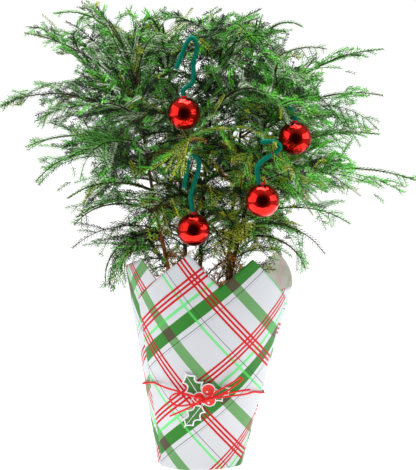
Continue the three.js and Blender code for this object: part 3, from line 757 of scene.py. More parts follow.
def along_needles(path, facing, start, end, radius, pitch, length, width, seed):
    """Folded kites in three rows along a twig, each leaning forwards, as one (points, triangles) part."""
    draw = np.random.default_rng(abs(int(seed * 1000)) + 1)
    count = max(4, int(path.length * (end - start) / pitch))
    share = start + (end - start) * (np.arange(count) + draw.uniform(0, 0.5, count)) / count
    points, heading = path.at(share), path.heading(share)
    across = unit(np.cross(facing, heading))
    facing = np.cross(heading, across)
    angle = np.radians(np.resize(NEEDLE_ROWS, count) + draw.uniform(-11, 11, count))
    spoke = across * np.cos(angle)[:, None] + facing * np.sin(angle)[:, None] * 0.85
    lean = np.radians(draw.uniform(44, 66, count) * np.interp(share, [0, 0.8, 1], [1, 0.95, 0.4]))[:, None]
    aim = unit(heading * np.cos(lean) + spoke * np.sin(lean))
    reach = length * draw.uniform(0.78, 1.08, count) * np.interp(share, [0, 0.85, 1], [1, 0.95, 0.62])
    reach = reach[:, None]
    base = points + spoke * radius * 0.8
    wide = unit(np.cross(aim, heading)) * width / 2
    middle = base + aim * reach * 0.4
    tip = base + aim * reach + heading * reach * 0.2
    fold = unit(np.cross(wide, aim)) * width * 0.2
    corners = np.stack([base, middle + wide - fold, tip, middle - wide - fold], axis=1).reshape(-1, 3)
    first = np.arange(count)[:, None] * 4
    return corners, np.concatenate([first + np.array([[0, 1, 2]]), first + np.array([[0, 2, 3]])])


def stem_path(letter):
    return bowed(*STEMS[letter]["line"])


def stem_radius(share):
    return lerp(3.4, 1.1, share) + 1.8 * np.maximum(0, 1 - share * 12)


def solid_arms(letter):
    """The arms that the solids show. Their seeds start at how far across the stem's tip is."""
    stem, tip = stem_path(letter), STEMS[letter]["line"][2][0]
    return [Arm(stem, *arm, tip + 10 * order) for order, arm in enumerate(STEMS[letter]["arms"])]


def filling_arms(letter):
    """Shorter arms between the others, by the same rule."""
    stem, tip = stem_path(letter), STEMS[letter]["line"][2]
    arms = []
    for order, (height, bearing, reach, rise, turn, _) in enumerate(STEMS[letter]["arms"]):
        for extra, (aside, share) in enumerate(FILLINGS):
            seed = tip[0] + 10 * order + 400 + 137 * extra
            at = min(height + 12 * vary(seed, 11), tip[2] - 6)
            turned = bearing + aside + 14 * vary(seed, 12)
            shorter = reach * (share + 0.14 * vary(seed, 13))
            arms.append(Arm(stem, at, turned, shorter, rise + 10 * vary(seed, 14), turn * 0.9, 0, seed))
    return arms


def listed_arms(letter, arms):
    return [Arm(stem_path(name), *sizes[:5], 0, sizes[5]) for name, *sizes in arms if name == letter]


def sprigs(letter):
    """Its low sprigs, each with whether it has dried."""
    for number, (name, height, bearing, reach, rise, turn, dry) in enumerate(SPRIGS):
        if name == letter:
            yield Arm(stem_path(name), height, bearing, reach, rise, turn, 0, 900 + number), dry


def wrap_radius(z):
    return WRAP_FOOT + WRAP_FLARE * z


def wrap_shift(z):
    return lerp(FOOT_SHIFT, SHOULDER_SHIFT, z / SHOULDER_HEIGHT)


def on_wrap(angle, z, away=0.0):
    radius = wrap_radius(z) + away
    return np.array([wrap_shift(z) + radius * math.sin(angle), -radius * math.cos(angle), z])


# The height of the paper's top edge all round, by degrees from the middle of the front.
PAPER_EDGE = [
    (-180, -160, -140, -110, -80, -50, -40, -15, 5, 25, 60, 90, 130, 155, 165, 180),
    (214, 220, 214, 246, 251, 265, 243, 274, 236, 267, 225, 229, 262, 219, 221, 214),
]


def hook_path(ball):
    (x, y, z), points = ball[:2]
    return through([(x + across, y, z + up) for across, up in points], 10)


def blocked(points, perch=False):
    """Whether a twig would run through the paper, a ball or a hook, or hang down in front of one of them."""
    across = points[:, 0] - wrap_shift(points[:, 2])
    beyond = np.hypot(across, points[:, 1]) - wrap_radius(points[:, 2])
    edge = np.interp(np.degrees(np.arctan2(across, -points[:, 1])), *PAPER_EDGE)
    through_paper = (points[:, 2] < edge + EDGE_ROOM) & (abs(beyond) < PAPER_ROOM)
    over_paper = (points[:, 2] < edge) & (beyond > 0) & (abs(across) < PAPER_SPAN)
    if through_paper.any() or over_paper.any():
        return True
    for ball in BALLS:
        hook = [] if perch else hook_path(ball).at(np.linspace(0, 1, 16))
        spots = [(point, HOOK_ROOM, i / 15 <= ball[2]) for i, point in enumerate(hook)]
        for middle, reach, kept_clear in [(np.array(ball[0]), BALL_ROOM, True)] + spots:
            away = points - middle
            near = np.linalg.norm(away, axis=1) < reach
            before = (np.hypot(away[:, 0], away[:, 2] - away[:, 1] * EYE_TAN) < reach - 2) & (away[:, 1] < 0)
            if near.any() or (before.any() and kept_clear):
                return True
    return False


def in_opening(points):
    """Whether any of the points lies in a window of the front view."""
    aim_x, _, aim_z = EYE_AIM
    far = EYE_FAR / (EYE_FAR + points[:, 1])
    across = (points[:, 0] - aim_x) * far + aim_x
    up = (points[:, 2] * EYE_COS + points[:, 1] * EYE_SIN - aim_z) * far + aim_z
    for x, z, wide, high in OPENINGS:
        if (((across - x) / wide) ** 2 + ((up - z) / high) ** 2 < 1).any():
            return True
    return False


TINTS = ("fresh", "mid", "deep", "olive", "dusty", "dry")
DRY = TINTS.index("dry")


def tint(point, share, seed):
    """The tint of a spray, by its place in the plant and its own number."""
    x, y, z = point
    outer = min(1, math.hypot(x, y) / 200)
    low = max(0, min(1, (455 - z) / 90)) * max(0, min(1, 1.6 - abs(x - 15) / 70))
    right = max(0, min(1, (x - 60) / 120))
    weights = {
        "fresh": 0.12 + 0.2 * outer * share + 0.6 * right * outer,
        "mid": 0.45,
        # old needles darkened as painted shade, most inside the plant and less on its right
        "deep": 0.6 * (1 - outer) + 0.26 * (1 - right),
        "olive": 0.05 + 0.75 * low,
        # painted sheen, more on the outer sprays
        "dusty": (0.2 + 0.12 * outer) * (1 - low),
        "dry": 0.06 * low,
    }
    pick = (vary(seed, 21) + 1) / 2 * sum(weights.values())
    for number, name in enumerate(TINTS):
        pick -= weights[name]
        if pick < 0:
            return number
    return TINTS.index("mid")


class GrowFoliage(bpy.types.Operator):
    """Grows the arms, twigs and needles of all five stems"""

    bl_idname = "pine.grow_foliage"
    bl_label = "Grow foliage"

    def arms(self, letter):
        """A stem's arms, each with whether it is dry, whether it is slim and whether a hook hangs on it."""
        middle = np.linspace(0.5, 1, 8)
        fillings = [arm for arm in filling_arms(letter) if not in_opening(arm.path.at(middle))]
        arms = [(arm, False, False, False) for arm in solid_arms(letter)]
        arms += [(arm, False, True, False) for arm in listed_arms(letter, EXTRA_ARMS) + fillings]
        arms += [(arm, False, False, True) for arm in listed_arms(letter, PERCHES)]
        arms += [(arm, dry, True, False) for arm, dry in sprigs(letter)]
        return [arm for arm in arms if not blocked(arm[0].path.at(np.linspace(0, 1, 24)), arm[3])]

    def execute(self, context):
        s = context.scene.pine_foliage
        needles = [needle_finish("Needles " + name, getattr(s, name)) for name in TINTS]
        green = mottled_finish("Twig bark", s.twig, 0.7, 900, 0.4, 0.2)
        brown = bark_finish("Bough bark", linear(34, 38, 20), linear(98, 94, 52), 0.3, 0.8)
        pitch, needle = s.needle_pitch / MM, (s.needle_length / MM, s.needle_width / MM)
        for letter, stem in STEMS.items():
            limbs, twigs, sprays, tints = [], [], [], []
            for arm, dry, small, _ in self.arms(letter):
                radii = np.array([lerp(*ARM_RADII, i / 15) for i in range(16)]) * (SLIM if small else 1)
                limbs.append(tube(arm.path, radii * (1 + 0.08 * np.sin(np.arange(16) * 2.1 + arm.seed)), 6))
                start, apart = (0.3, pitch * 3) if dry else (0.1, pitch * 1.1)
                facing = arm.frame(np.linspace(0.5, 0.5, 1))[3][0]
                sprays.append(along_needles(arm.path, facing, start, 1, 1.0, apart, *needle, arm.seed))
                tints.append(DRY if dry else tint(arm.path.at(0.7), 0.7, arm.seed))
                spacing, apart = (1.15, pitch * 1.8) if dry else (1, pitch)
                for path, facing, length, share in arm.side_twigs(s.twig_pitch / MM * spacing):
                    if blocked(path.at(np.linspace(0, 1, 6))) or in_opening(path.at(np.linspace(0.35, 1, 5))):
                        continue
                    seed = arm.seed + share * 17 + length
                    twigs.append(tube(path, np.linspace(0.62, 0.3, 5), 3))
                    sprays.append(along_needles(path, facing, 0.02, 1, 0.5, apart, *needle, seed))
                    tints.append(DRY if dry else tint(path.at(0.5), share, seed))
            boughs = [f"bough_{letter}{i + 1}" for i, arm in enumerate(stem["arms"]) if arm[5]]
            masses = [f"foliage_{letter}{i + 1}" for i in range(len(stem["arms"]))]
            finished(f"arms_{letter}", from_arrays("arms", limbs), [brown], boughs)
            finished(f"twigs_{letter}", from_arrays("twigs", twigs), [green])
            spread = from_arrays("needles", sprays, tints)
            finished(f"needles_{letter}", spread, needles, masses, smooth=False)
        return {"FINISHED"}


class MakeStems(bpy.types.Operator):
    """Makes the five stems with their bark"""

    bl_idname = "pine.make_stems"
    bl_label = "Stems"

    def execute(self, context):
        s = context.scene.pine_stems
        steps, sides = 150, 14
        upper = (250, 360, linear(92, 62, 56))
        warm = bark_finish("Warm bark", s.dark, linear(248, 160, 78), 0.26, 0.7, upper)
        dark = bark_finish("Dark bark", linear(26, 23, 22), s.light, 0.44, 0.84)
        for letter in STEMS:
            stem = stem_path(letter)
            low = np.interp(SOIL_TOP + GAP, stem.points[:, 2], stem.shares)
            shares = np.linspace(low, 1, steps)
            standing = Path(stem.at(shares))
            points, faces = tube(standing, stem_radius(shares), sides)
            out = points - np.repeat(standing.at(np.linspace(0, 1, steps)), sides, axis=0)
            for i, point in enumerate(points):
                at = Vector((point[0] * 0.5, point[1] * 0.5, point[2] * 0.16))
                points[i] += out[i] * s.relief * (noise.noise(at) + 0.5 * noise.noise(at * 3.1))
            mesh = from_arrays("bark", [(points, faces)])
            finished(f"bark_{letter}", mesh, [warm if letter == "a" else dark], [f"stem_{letter}"])
        return {"FINISHED"}


# ---- The pot, its filling and its paper ----


def spun(profile, steps):
    """A closed shape turned once round the axis from a profile of (radius, height)."""
    bm = bmesh.new()
    corners = [bm.verts.new((radius, 0, z)) for radius, z in profile]
    edges = [bm.edges.new(pair) for pair in zip(corners, corners[1:])]
    turn = {"cent": (0, 0, 0), "axis": (0, 0, 1), "angle": 2 * math.pi, "steps": steps, "use_merge": True}
    bmesh.ops.spin(bm, geom=corners + edges, **turn)
    bmesh.ops.remove_doubles(bm, verts=bm.verts, dist=1e-4)
    return bm


def pot_wall(z):
    """The radius of the pot's outside at a height below its lip."""
    return lerp(POT_BASE, POT_RIM - POT_LIP, z / (POT_HEIGHT - 2 * POT_LIP))


class MakePot(bpy.types.Operator):
    """Makes the grower's pot with its rolled rim and stepped foot"""

    bl_idname = "pine.make_pot"
    bl_label = "Pot"

    def execute(self, context):
        s = context.scene.pine_pot
        outside = [(0, 1.2), (POT_BASE - 14, 1.2), (POT_BASE - 12, 0), (POT_BASE - 1, 0), (POT_BASE, 1)]
        outside += [(pot_wall(z), z) for z in (24, 48, 72, 96, 120, 132)]
        rim = [(-2.4, 133), (-0.4, 133.6), (0, 134.6), (0, 138.6), (-0.8, 140), (-2.2, 139.8)]
        inside = [(pot_wall(z) - POT_WALL, z) for z in (136, 120, 96, 72, 48, 24, 4)]
        inside += [(POT_BASE - 4, 2.4), (0, 2.4)]
        bm = spun(outside + [(POT_RIM + out, z) for out, z in rim] + inside, 72)
        plastic = plastic_finish("Pot plastic", s.plastic)
        finished("grow_pot", from_bmesh("pot", bm), [plastic], ["pot"])
        return {"FINISHED"}


class FillPot(bpy.types.Operator):
    """Fills the pot with peat, bark chips and perlite"""

    bl_idname = "pine.fill_pot"
    bl_label = "Potting mix"

    def execute(self, context):
        s = context.scene.pine_pot
        radius = 73.6
        profile = [(0, 3.2), (POT_BASE - 5, 3.2), (pot_wall(30) - 3, 30)]
        profile += [(radius - 1.6, SOIL_TOP - 8), (radius, SOIL_TOP - 2)]
        profile += [(radius * i / 22, SOIL_TOP - 0.6) for i in range(21, -1, -1)]
        bm = spun(profile, 72)
        for vertex in bm.verts:
            if vertex.co.z > SOIL_TOP - 1:
                edge = 1 - min(1, vertex.co.xy.length / radius)
                lump = noise.noise(vertex.co * 0.09) * 2.2 + noise.noise(vertex.co * 0.3) * 1.1
                vertex.co.z += min(1.8, lump) * min(1, edge * 8) - 0.4
        mix = mottled_finish("Potting mix", s.mix, 0.96, 260, 0.6, 1.2)
        finished("potting_mix", from_bmesh("mix", bm), [mix], ["soil"])
        draw = np.random.default_rng(12)
        lump = np.array([(1, 0, 0), (-1, 0, 0), (0, 1, 0), (0, -1, 0), (0, 0, 1), (0, 0, -1)], float)
        sides = [(4, 0, 2), (4, 2, 1), (4, 1, 3), (4, 3, 0), (5, 2, 0), (5, 1, 2), (5, 3, 1), (5, 0, 3)]
        for name, count, scale, stretch, rgba in (
            ("crumbs", 1500, (0.6, 1.7), (1.0, 1.5), shade(s.mix, 1.3)),
            ("chips", 260, (1.2, 3.0), (0.35, 2.0), linear(96, 62, 38)),
            ("perlite", 170, (0.7, 1.6), (0.8, 1.2), s.perlite),
        ):
            parts = []
            for _ in range(count):
                way, far = draw.uniform(0, 2 * np.pi), radius * 0.97 * math.sqrt(draw.uniform(0, 1))
                turn = np.array(Matrix.Rotation(draw.uniform(0, 6.28), 3, draw.normal(size=3).tolist()))
                grain = lump * draw.uniform(*scale) * draw.uniform(*stretch, size=3)
                grain *= draw.uniform(0.8, 1.2, (6, 1))
                centre = (far * math.cos(way), far * math.sin(way), SOIL_TOP - 0.2 + draw.uniform(-0.6, 0.9))
                parts.append((grain @ turn.T + centre, np.array(sides)))
            grit = mottled_finish("Grit " + name, rgba, 0.95, 700, 0.35, 0.3)
            finished("mix_" + name, from_arrays(name, parts), [grit], smooth=False)
        return {"FINISHED"}


SLANT = math.atan(WRAP_FLARE)
APEX = WRAP_FOOT / math.sin(SLANT)  # from the point of the paper's cone to its foot, along the paper
TIED = 84  # the height where the twine holds the paper tight

# How far the front sheet's print is drawn across and up by its creases: the factors of the turn (1 at 60
# degrees) and the height (-1 at the foot, 1 at the tips), in the order that front_pull lists their powers.
# Another script fitted them to places on the stripes that were read off the photograph by eye.
FRONT_PULL = [
    (4.15, 1.38, -10.06, 1.74, 2.87, -0.29, 3.78, 3.52, -3.72),
    (-0.93, -1.96, -1.18, -4.62, -2.96, 3.88, 4.38, -2.51, 0.04),
]
# The paper's corners: degrees from the front, height, and the slope of the edges to the left and right.
FRONT_CORNERS = [(-14.6, 274.5, 39, 49.5), (25.7, 267, 45, 38.5)]
REAR_CORNERS = [(-50.1, 265, 17, 50), (-112, 246, 40, 30), (-158, 221, 20, 20), (165, 221, 20, 20)]
REAR_CORNERS += [(129.6, 262.4, 30, 45), (95, 230, 8, 40)]


def paper_top(degrees, corners):
    """The paper's height at an angle: the highest of the square corners, whose edges fall at their slopes."""
    best = 0
    for at, height, left, right in corners:
        apart = (degrees - at + 540) % 360 - 180
        if abs(apart) > 70:
            continue
        apart = math.radians(apart) * math.sin(SLANT)
        slope = math.tan(math.radians(left if apart < 0 else right))
        reach = wrap_radius(height) / math.sin(SLANT) / (math.cos(apart) + slope * abs(math.sin(apart)))
        best = max(best, (reach * math.sin(SLANT) - WRAP_FOOT) / WRAP_FLARE)
    return best


def front_pull(turn, height):
    """How far across and up the front sheet's print is drawn, at a turn and a height."""
    powers = [1, turn, height, turn**2, turn * height, height**2, turn**3, turn**2 * height, turn * height**2]
    return [sum(a * b for a, b in zip(powers, factors)) for factors in FRONT_PULL]


def print_place(sweep, reach, rear):
    """Where a spot of the paper lies on its flat print, from its turn and reach round the cone's point."""
    if rear:  # the rear sheet's print lies a quarter turn round
        sweep += math.radians(10.5) - 2 * math.pi * math.sin(SLANT)
        return 174.3 + APEX - reach * math.cos(sweep), 218.7 + reach * math.sin(sweep)
    turn = sweep / math.sin(SLANT) / math.radians(60)
    across, up = front_pull(turn, (reach - APEX) * math.cos(SLANT) / 140 - 1)
    return reach * math.sin(sweep) - across, reach * math.cos(sweep) - APEX - up


def paper_sheet(start, end, corners, away, ripple, rear):
    """A sheet bent round the pot between two angles, with its flat map in millimetres."""
    bm = bmesh.new()
    bmesh.ops.create_grid(bm, x_segments=int((end - start) / 1.25), y_segments=56, size=0.5)
    flat = bm.loops.layers.uv.new("flat")
    spots = {}
    for vertex in bm.verts:
        degrees = lerp(start, end, vertex.co.x + 0.5)
        angle = math.radians(degrees)
        foot = 0.4 + 0.5 * math.sin(angle * 3)
        z = lerp(foot, paper_top(degrees, corners), vertex.co.y + 0.5)
        loose = max(0, (z - 140) / 130) ** 1.5
        wave = ripple * loose * (math.sin(angle * 5 + 0.6) + 0.6 * math.sin(angle * 9 + 2))
        dent = 0.5 * noise.noise(Vector((angle * 5, z * 0.03, away)))
        tight = min(1, abs(z - TIED) / 30)
        spots[vertex] = (angle * math.sin(SLANT), wrap_radius(z) / math.sin(SLANT))
        vertex.co = on_wrap(angle, z, away + wave + (dent - 0.3) * tight)
    for face in bm.faces:
        for loop in face.loops:
            loop[flat].uv = print_place(*spots[loop.vert], rear)
    bmesh.ops.scale(bm, vec=(MM,) * 3, verts=bm.verts)
    bmesh.ops.recalc_face_normals(bm, faces=bm.faces)
    middles = [(face.normal, face.calc_center_median()) for face in bm.faces]
    if sum(normal.x * middle.x + normal.y * middle.y for normal, middle in middles) < 0:
        bmesh.ops.reverse_faces(bm, faces=bm.faces)
    mesh = bpy.data.meshes.new("paper")
    bm.to_mesh(mesh)
    bm.free()
    return mesh


class WrapPot(bpy.types.Operator):
    """Wraps the pot in two sheets of plaid paper whose square corners stand up"""

    bl_idname = "pine.wrap_pot"
    bl_label = "Paper wrap"

    def execute(self, context):
        s = context.scene.pine_wrap
        inside = plaid_finish("Paper inside", s, inside=True)
        sheets = (
            ("wrap_rear", 42, 322, REAR_CORNERS, -0.75, 1.0, True),
            ("wrap_front", -61, 70, FRONT_CORNERS, -0.2, 0.6, False),
        )
        for name, *shape in sheets:
            mesh = paper_sheet(*shape)
            print_side = plaid_finish("Paper " + name, s)
            sheet = finished(name, mesh, [print_side, inside], ["gift_wrap"])
            wall = sheet.modifiers.new("Paper thickness", "SOLIDIFY")
            wall.thickness, wall.offset, wall.material_offset = s.thickness, -1, 1
        return {"FINISHED"}


# ---- Twine and tag ----


def twisted(path, radius, closed=False, pitch=4.6):
    """Two plies of yarn wound round each other along a path."""
    count = max(8, int(path.length / 0.75))
    shares = np.linspace(0, 1, count, endpoint=not closed)
    points, _, first, second = rings(path, shares)
    turns = round(path.length / pitch)
    parts = []
    for ply in (0, math.pi):
        angle = shares * turns * 2 * np.pi + ply
        offset = first * np.cos(angle)[:, None] + second * np.sin(angle)[:, None]
        line = points + offset * radius * 0.46
        if closed:
            line = np.vstack([line, line[:1]])
        parts.append(tube(Path(line), np.full(len(line) - closed, radius * 0.6), 6, closed))
    return parts


OVER_TAG = GAP * 2 + 2 + 3.2  # how far off the paper the twine passes the tag
KNOT_HEIGHT = 93.5
# How much higher than the knot the twine runs, by degrees from the middle of the front.
TWINE_LIFT = [
    (-180, -90, -53, -38, -22, -8, 0, 10, 25, 52, 72, 90, 180),
    (2, 6, 16, 14, 9.5, 3.5, 0, 2, 3.8, 4.1, -1, -5, 2),
]
# The bow's loops and tails: how far across, up and out from the knot.
LOOPS = [
    [(0, 0, 0.6), (-14, 5.5, 3.1), (-33, 8.6, 1.6), (-42, 1.5, 0.6), (-33, -6.6, 1.1), (-13, -4.5, 2.6)],
    [(0, 0, 0.6), (14, 10, 3.1), (32, 20.5, 2.2), (43, 27.5, 1.6), (45, 24.5, 1.1), (29, 12, 1.6)]
    + [(12, 3.5, 3)],
]
TAILS = [
    [(0, 0, 0), (-11, -5.5, 1.8), (-26, -12.5, 2), (-37, -17.5, 0.8), (-42, -20, -0.6)],
    [(0, 0, 0), (15, 5.5, 2), (30, 9, 2), (45, 11.5, 1), (56, 12.8, -0.6)],
]


class TieTwine(bpy.types.Operator):
    """Ties the red twine round the paper with a bow over the tag"""

    bl_idname = "pine.tie_twine"
    bl_label = "Twine"

    def ring(self):
        """The turn round the paper, which eases out over the tag."""
        points = []
        for angle in circle(72):
            ease = min(1, max(0, (math.cos(angle) - 0.6) / 0.26))
            lift = np.interp((math.degrees(angle) + 180) % 360 - 180, *TWINE_LIFT)
            away = GAP + 1.2 + OVER_TAG * ease * ease * (3 - 2 * ease)
            points.append(on_wrap(angle, KNOT_HEIGHT + lift, away))
        return through(points, 3, closed=True)

    def knot(self, middle):
        """Three small turns: two level ones, and an upright one over them."""
        for lift in (-1.26, 1.26):
            yield [middle + (math.sin(a) * 3.6, -math.cos(a) * 2.4, lift) for a in circle(14)]
        yield [middle + (1.2 * math.sin(a), -math.sin(a) * 2.4, math.cos(a) * 3.2) for a in circle(14)]

    def execute(self, context):
        s = context.scene.pine_trim
        radius = s.twine_diameter / MM / 2
        middle = on_wrap(0, KNOT_HEIGHT, OVER_TAG + 3.4)
        parts = twisted(self.ring(), radius, closed=True)
        for loop in LOOPS:
            points = [middle + (x, -out, z) for x, z, out in loop]
            parts += twisted(through(points, 8, closed=True), radius, closed=True)
        for tail in TAILS:
            points = [middle + (x, -out, z) for x, z, out in tail]
            parts += twisted(through(points, 8), radius * 0.96)
        for turn in self.knot(middle):
            parts += twisted(through(turn, 4, closed=True), radius * 0.95, closed=True)
        yarn = Finish("Twine yarn", roughness=0.75, specular_ior_level=0.3, sheen_weight=0.3)
        fibre = yarn.noise(1400, 3, 0.7)
        tone = yarn.ramp(fibre, (0.3, shade(s.twine, 0.6)), (0.56, tuple(s.twine)))
        yarn.set(base_color=tone).bump(fibre, 0.25)
        finished("twine", from_arrays("twine", parts), [yarn.material], ["tie_string"])
        return {"FINISHED"}


LEAF = 37  # length of the tag's leaves before they are scaled
# The leaves: which way they point in degrees, their height in the stack and their scale.
LEAVES = [(124, 0.0, 1.22), (236, 0.4, 1.06), (30, 0.8, 1.0)]
BERRIES = [(-6.3, 6.7, 7.4), (6.5, 2.5, 7.4), (4, 16.5, 8.2)]  # across, up and radius
TAG_MIDDLE = 89  # height of the tag's middle above the floor


def leaf_outline():
    """A holly leaf along +X: sharp points with hollows between them."""
    spots, widths = [0.03, 0.24, 0.52, 0.79], [0.1, 0.43, 0.5, 0.36]
    side = []
    for first, second, low, high in zip(spots, spots[1:], widths, widths[1:]):
        for t in np.arange(5) / 5:
            side.append((lerp(first, second, t), lerp(low, high, t) - 0.2 * math.sin(math.pi * t**0.8)))
    for t in np.arange(6) / 6:
        side.append((lerp(spots[-1], 1, t), lerp(widths[-1], 0, t) - 0.08 * math.sin(math.pi * t)))
    points = [(x * LEAF, max(1.0, y * 21.85)) for x, y in side[:-1]]
    return points + [(LEAF + 1.2, 0.0)] + [(x, -y) for x, y in reversed(points)]


def card_shape(bm, outline, height, thickness, border, ink):
    """A raised card shape with a printed middle inside an unprinted border."""
    face = bm.faces.new([bm.verts.new((x, y, height)) for x, y in outline])
    made = bmesh.ops.extrude_face_region(bm, geom=[face])
    top = next(g for g in made["geom"] if isinstance(g, bmesh.types.BMFace))
    bmesh.ops.translate(bm, vec=(0, 0, thickness), verts=list(top.verts))
    bmesh.ops.inset_region(bm, faces=[top], thickness=border, use_even_offset=True)
    top.material_index = ink


def disc(x, y, radius, count):
    return [(x + radius * math.cos(a), y + radius * math.sin(a)) for a in circle(count)]


class HangTag(bpy.types.Operator):
    """Makes the printed card tag: three holly leaves and three berries with a white border"""

    bl_idname = "pine.hang_tag"
    bl_label = "Holly tag"

    def leaf(self, turn, height, scale):
        """One leaf with its raised rib."""
        bm = bmesh.new()
        card_shape(bm, leaf_outline(), 0, 0.8, 1.5, 1)
        rib = [(5, 0.5, 0.9), (5, -0.5, 0.9), (34, -0.15, 0.9), (34, 0.15, 0.9)]
        made = bmesh.ops.extrude_face_region(bm, geom=[bm.faces.new([bm.verts.new(p) for p in rib])])
        raised = [g for g in made["geom"] if isinstance(g, bmesh.types.BMVert)]
        bmesh.ops.translate(bm, vec=(0, 0, 0.12), verts=raised)
        bmesh.ops.scale(bm, vec=(scale, scale, 1), verts=bm.verts)
        bmesh.ops.rotate(bm, matrix=Matrix.Rotation(math.radians(turn), 3, "Z"), verts=bm.verts)
        bmesh.ops.translate(bm, vec=(0, 0, height), verts=bm.verts)
        mesh = bpy.data.meshes.new("leaf")
        bm.to_mesh(mesh)
        bm.free()
        return mesh

    def execute(self, context):
        s = context.scene.pine_trim
        card = mottled_finish("Card border", linear(238, 238, 238), 0.6, 500, 0.03, 0.05)
        leaf = mottled_finish("Card leaf", s.tag_leaf, 0.5, 220, 0.18, 0.05)
        berry = mottled_finish("Card berry", s.tag_berry, 0.45, 180, 0.16, 0.05)
        bm = bmesh.new()
        for place in LEAVES:
            mesh = self.leaf(*place)
            bm.from_mesh(mesh)
            bpy.data.meshes.remove(mesh)
        for x, y, radius in BERRIES:
            card_shape(bm, disc(x, y, radius, 28), 1.8, 0.8, 1.2, 2)
            card_shape(bm, disc(x - 1.4, y - 2.6, 1.3, 12), 2.62, 0.12, 0.2, 0)
        for x in range(-36, 40, 4):  # cuts, so that the card can bend round the paper
            every = list(bm.verts) + list(bm.edges) + list(bm.faces)
            bmesh.ops.bisect_plane(bm, geom=every, plane_co=(x + 0.013, 0, 0), plane_no=(1, 0, 0))
        for vertex in bm.verts:
            z = TAG_MIDDLE + vertex.co.y
            vertex.co = on_wrap(vertex.co.x / wrap_radius(z), z, GAP + 1.7 + vertex.co.z)
        finished("tag", from_bmesh("tag", bm), [card, leaf, berry], ["holly_tag"], smooth=False)
        return {"FINISHED"}


# ---- Balls and their hooks ----


class HangBalls(bpy.types.Operator):
    """Hangs four mirrored glass balls from fuzzy hooks"""

    bl_idname = "pine.hang_balls"
    bl_label = "Balls and hooks"

    def ball(self, middle, radius):
        """A ball that is a little flat under its cap."""
        bm = bmesh.new()
        bmesh.ops.create_uvsphere(bm, u_segments=56, v_segments=36, radius=radius)
        for vertex in bm.verts:
            if vertex.co.z > radius * 0.93:
                vertex.co.z -= (vertex.co.z - radius * 0.93) * 0.5
        bmesh.ops.translate(bm, vec=middle, verts=bm.verts)
        return from_bmesh("ball", bm)

    def cap(self, middle, top):
        """A cap with sixteen flutes."""
        profile = [(0, -2.2), (4.0, -2.2), (4.3, -1.2), (3.9, -0.6), (3.7, 1.6), (3.3, 2.2), (0, 2.4)]
        bm = spun([(r, top + z) for r, z in profile], 32)
        for vertex in bm.verts:
            if vertex.co.xy.length > 3.6:
                flute = 1 + 0.04 * math.cos(16 * math.atan2(vertex.co.y, vertex.co.x))
                vertex.co.x *= flute
                vertex.co.y *= flute
        bmesh.ops.translate(bm, vec=middle, verts=bm.verts)
        return from_bmesh("cap", bm)

    def eye(self, middle, top):
        """The loop that stands on the cap."""
        up = middle.z + top + 4.4
        points = [(middle.x + 2.4 * math.cos(a), middle.y, up + 2.6 * math.sin(a)) for a in circle(14)]
        loop = tube(through(points, 3, closed=True), np.full(36, 0.55), 8, closed=True)
        return from_arrays("eye", [loop])

    def fuzz(self, hook, width, draw):
        """Pointed tufts that stand out all round a hook."""
        count = int(hook.length * 90)
        share = np.sort(draw.uniform(0, 1, count))
        points, headings, first, second = rings(hook, share)
        angle = draw.uniform(0, 2 * np.pi, count)[:, None]
        lean = headings * draw.normal(0, 0.22, (count, 1))
        spoke = unit(first * np.cos(angle) + second * np.sin(angle) + lean)
        reach = width / 2 * draw.uniform(0.75, 1.08, (count, 1))
        wide = unit(np.cross(spoke, headings)) * 0.42
        skew = draw.normal(0, 0.3, (count, 3))
        corners = np.stack([points + wide, points - wide, points + spoke * reach + skew], axis=1)
        return from_arrays("fuzz", [(corners.reshape(-1, 3), np.arange(count * 3).reshape(-1, 3))])

    def execute(self, context):
        s = context.scene.pine_trim
        radius = s.ball_diameter / MM / 2
        glass = Finish("Mirrored glass", metallic=1.0, coat_weight=0.12, coat_roughness=0.03)
        tone = glass.noise(20, 2)
        glass.set(base_color=glass.mix(tone, tuple(s.ball), shade(s.ball, 0.8)), roughness=tone * 0.06 + 0.05)
        glass.bump(glass.noise(60, 2), 0.25, 0.3)
        red = plastic_finish("Cap plastic", linear(214, 16, 40), 0.35, 500)
        tufts = mottled_finish("Chenille", s.chenille, 0.85, 330, 0.7, 0.2)
        core = mottled_finish("Chenille core", shade(s.chenille, 0.7), 0.9, 900, 0.4, 0.2)
        draw = np.random.default_rng(5)
        for number, ball in enumerate(BALLS, 1):
            middle, top, hook = Vector(ball[0]), radius * 0.95, hook_path(ball)
            finished(f"ball_{number}", self.ball(middle, radius), [glass.material])
            finished(f"cap_{number}", self.cap(middle, top), [red])
            finished(f"eye_{number}", self.eye(middle, top), [red])
            wire = from_arrays("wire", [tube(hook, np.full(int(hook.length / 1.5), 2.8), 8)])
            finished(f"hook_wire_{number}", wire, [core])
            fuzz = self.fuzz(hook, s.chenille_width / MM, draw)
            finished(f"hook_fuzz_{number}", fuzz, [tufts], smooth=False)
        return {"FINISHED"}


# ---- The stage ----


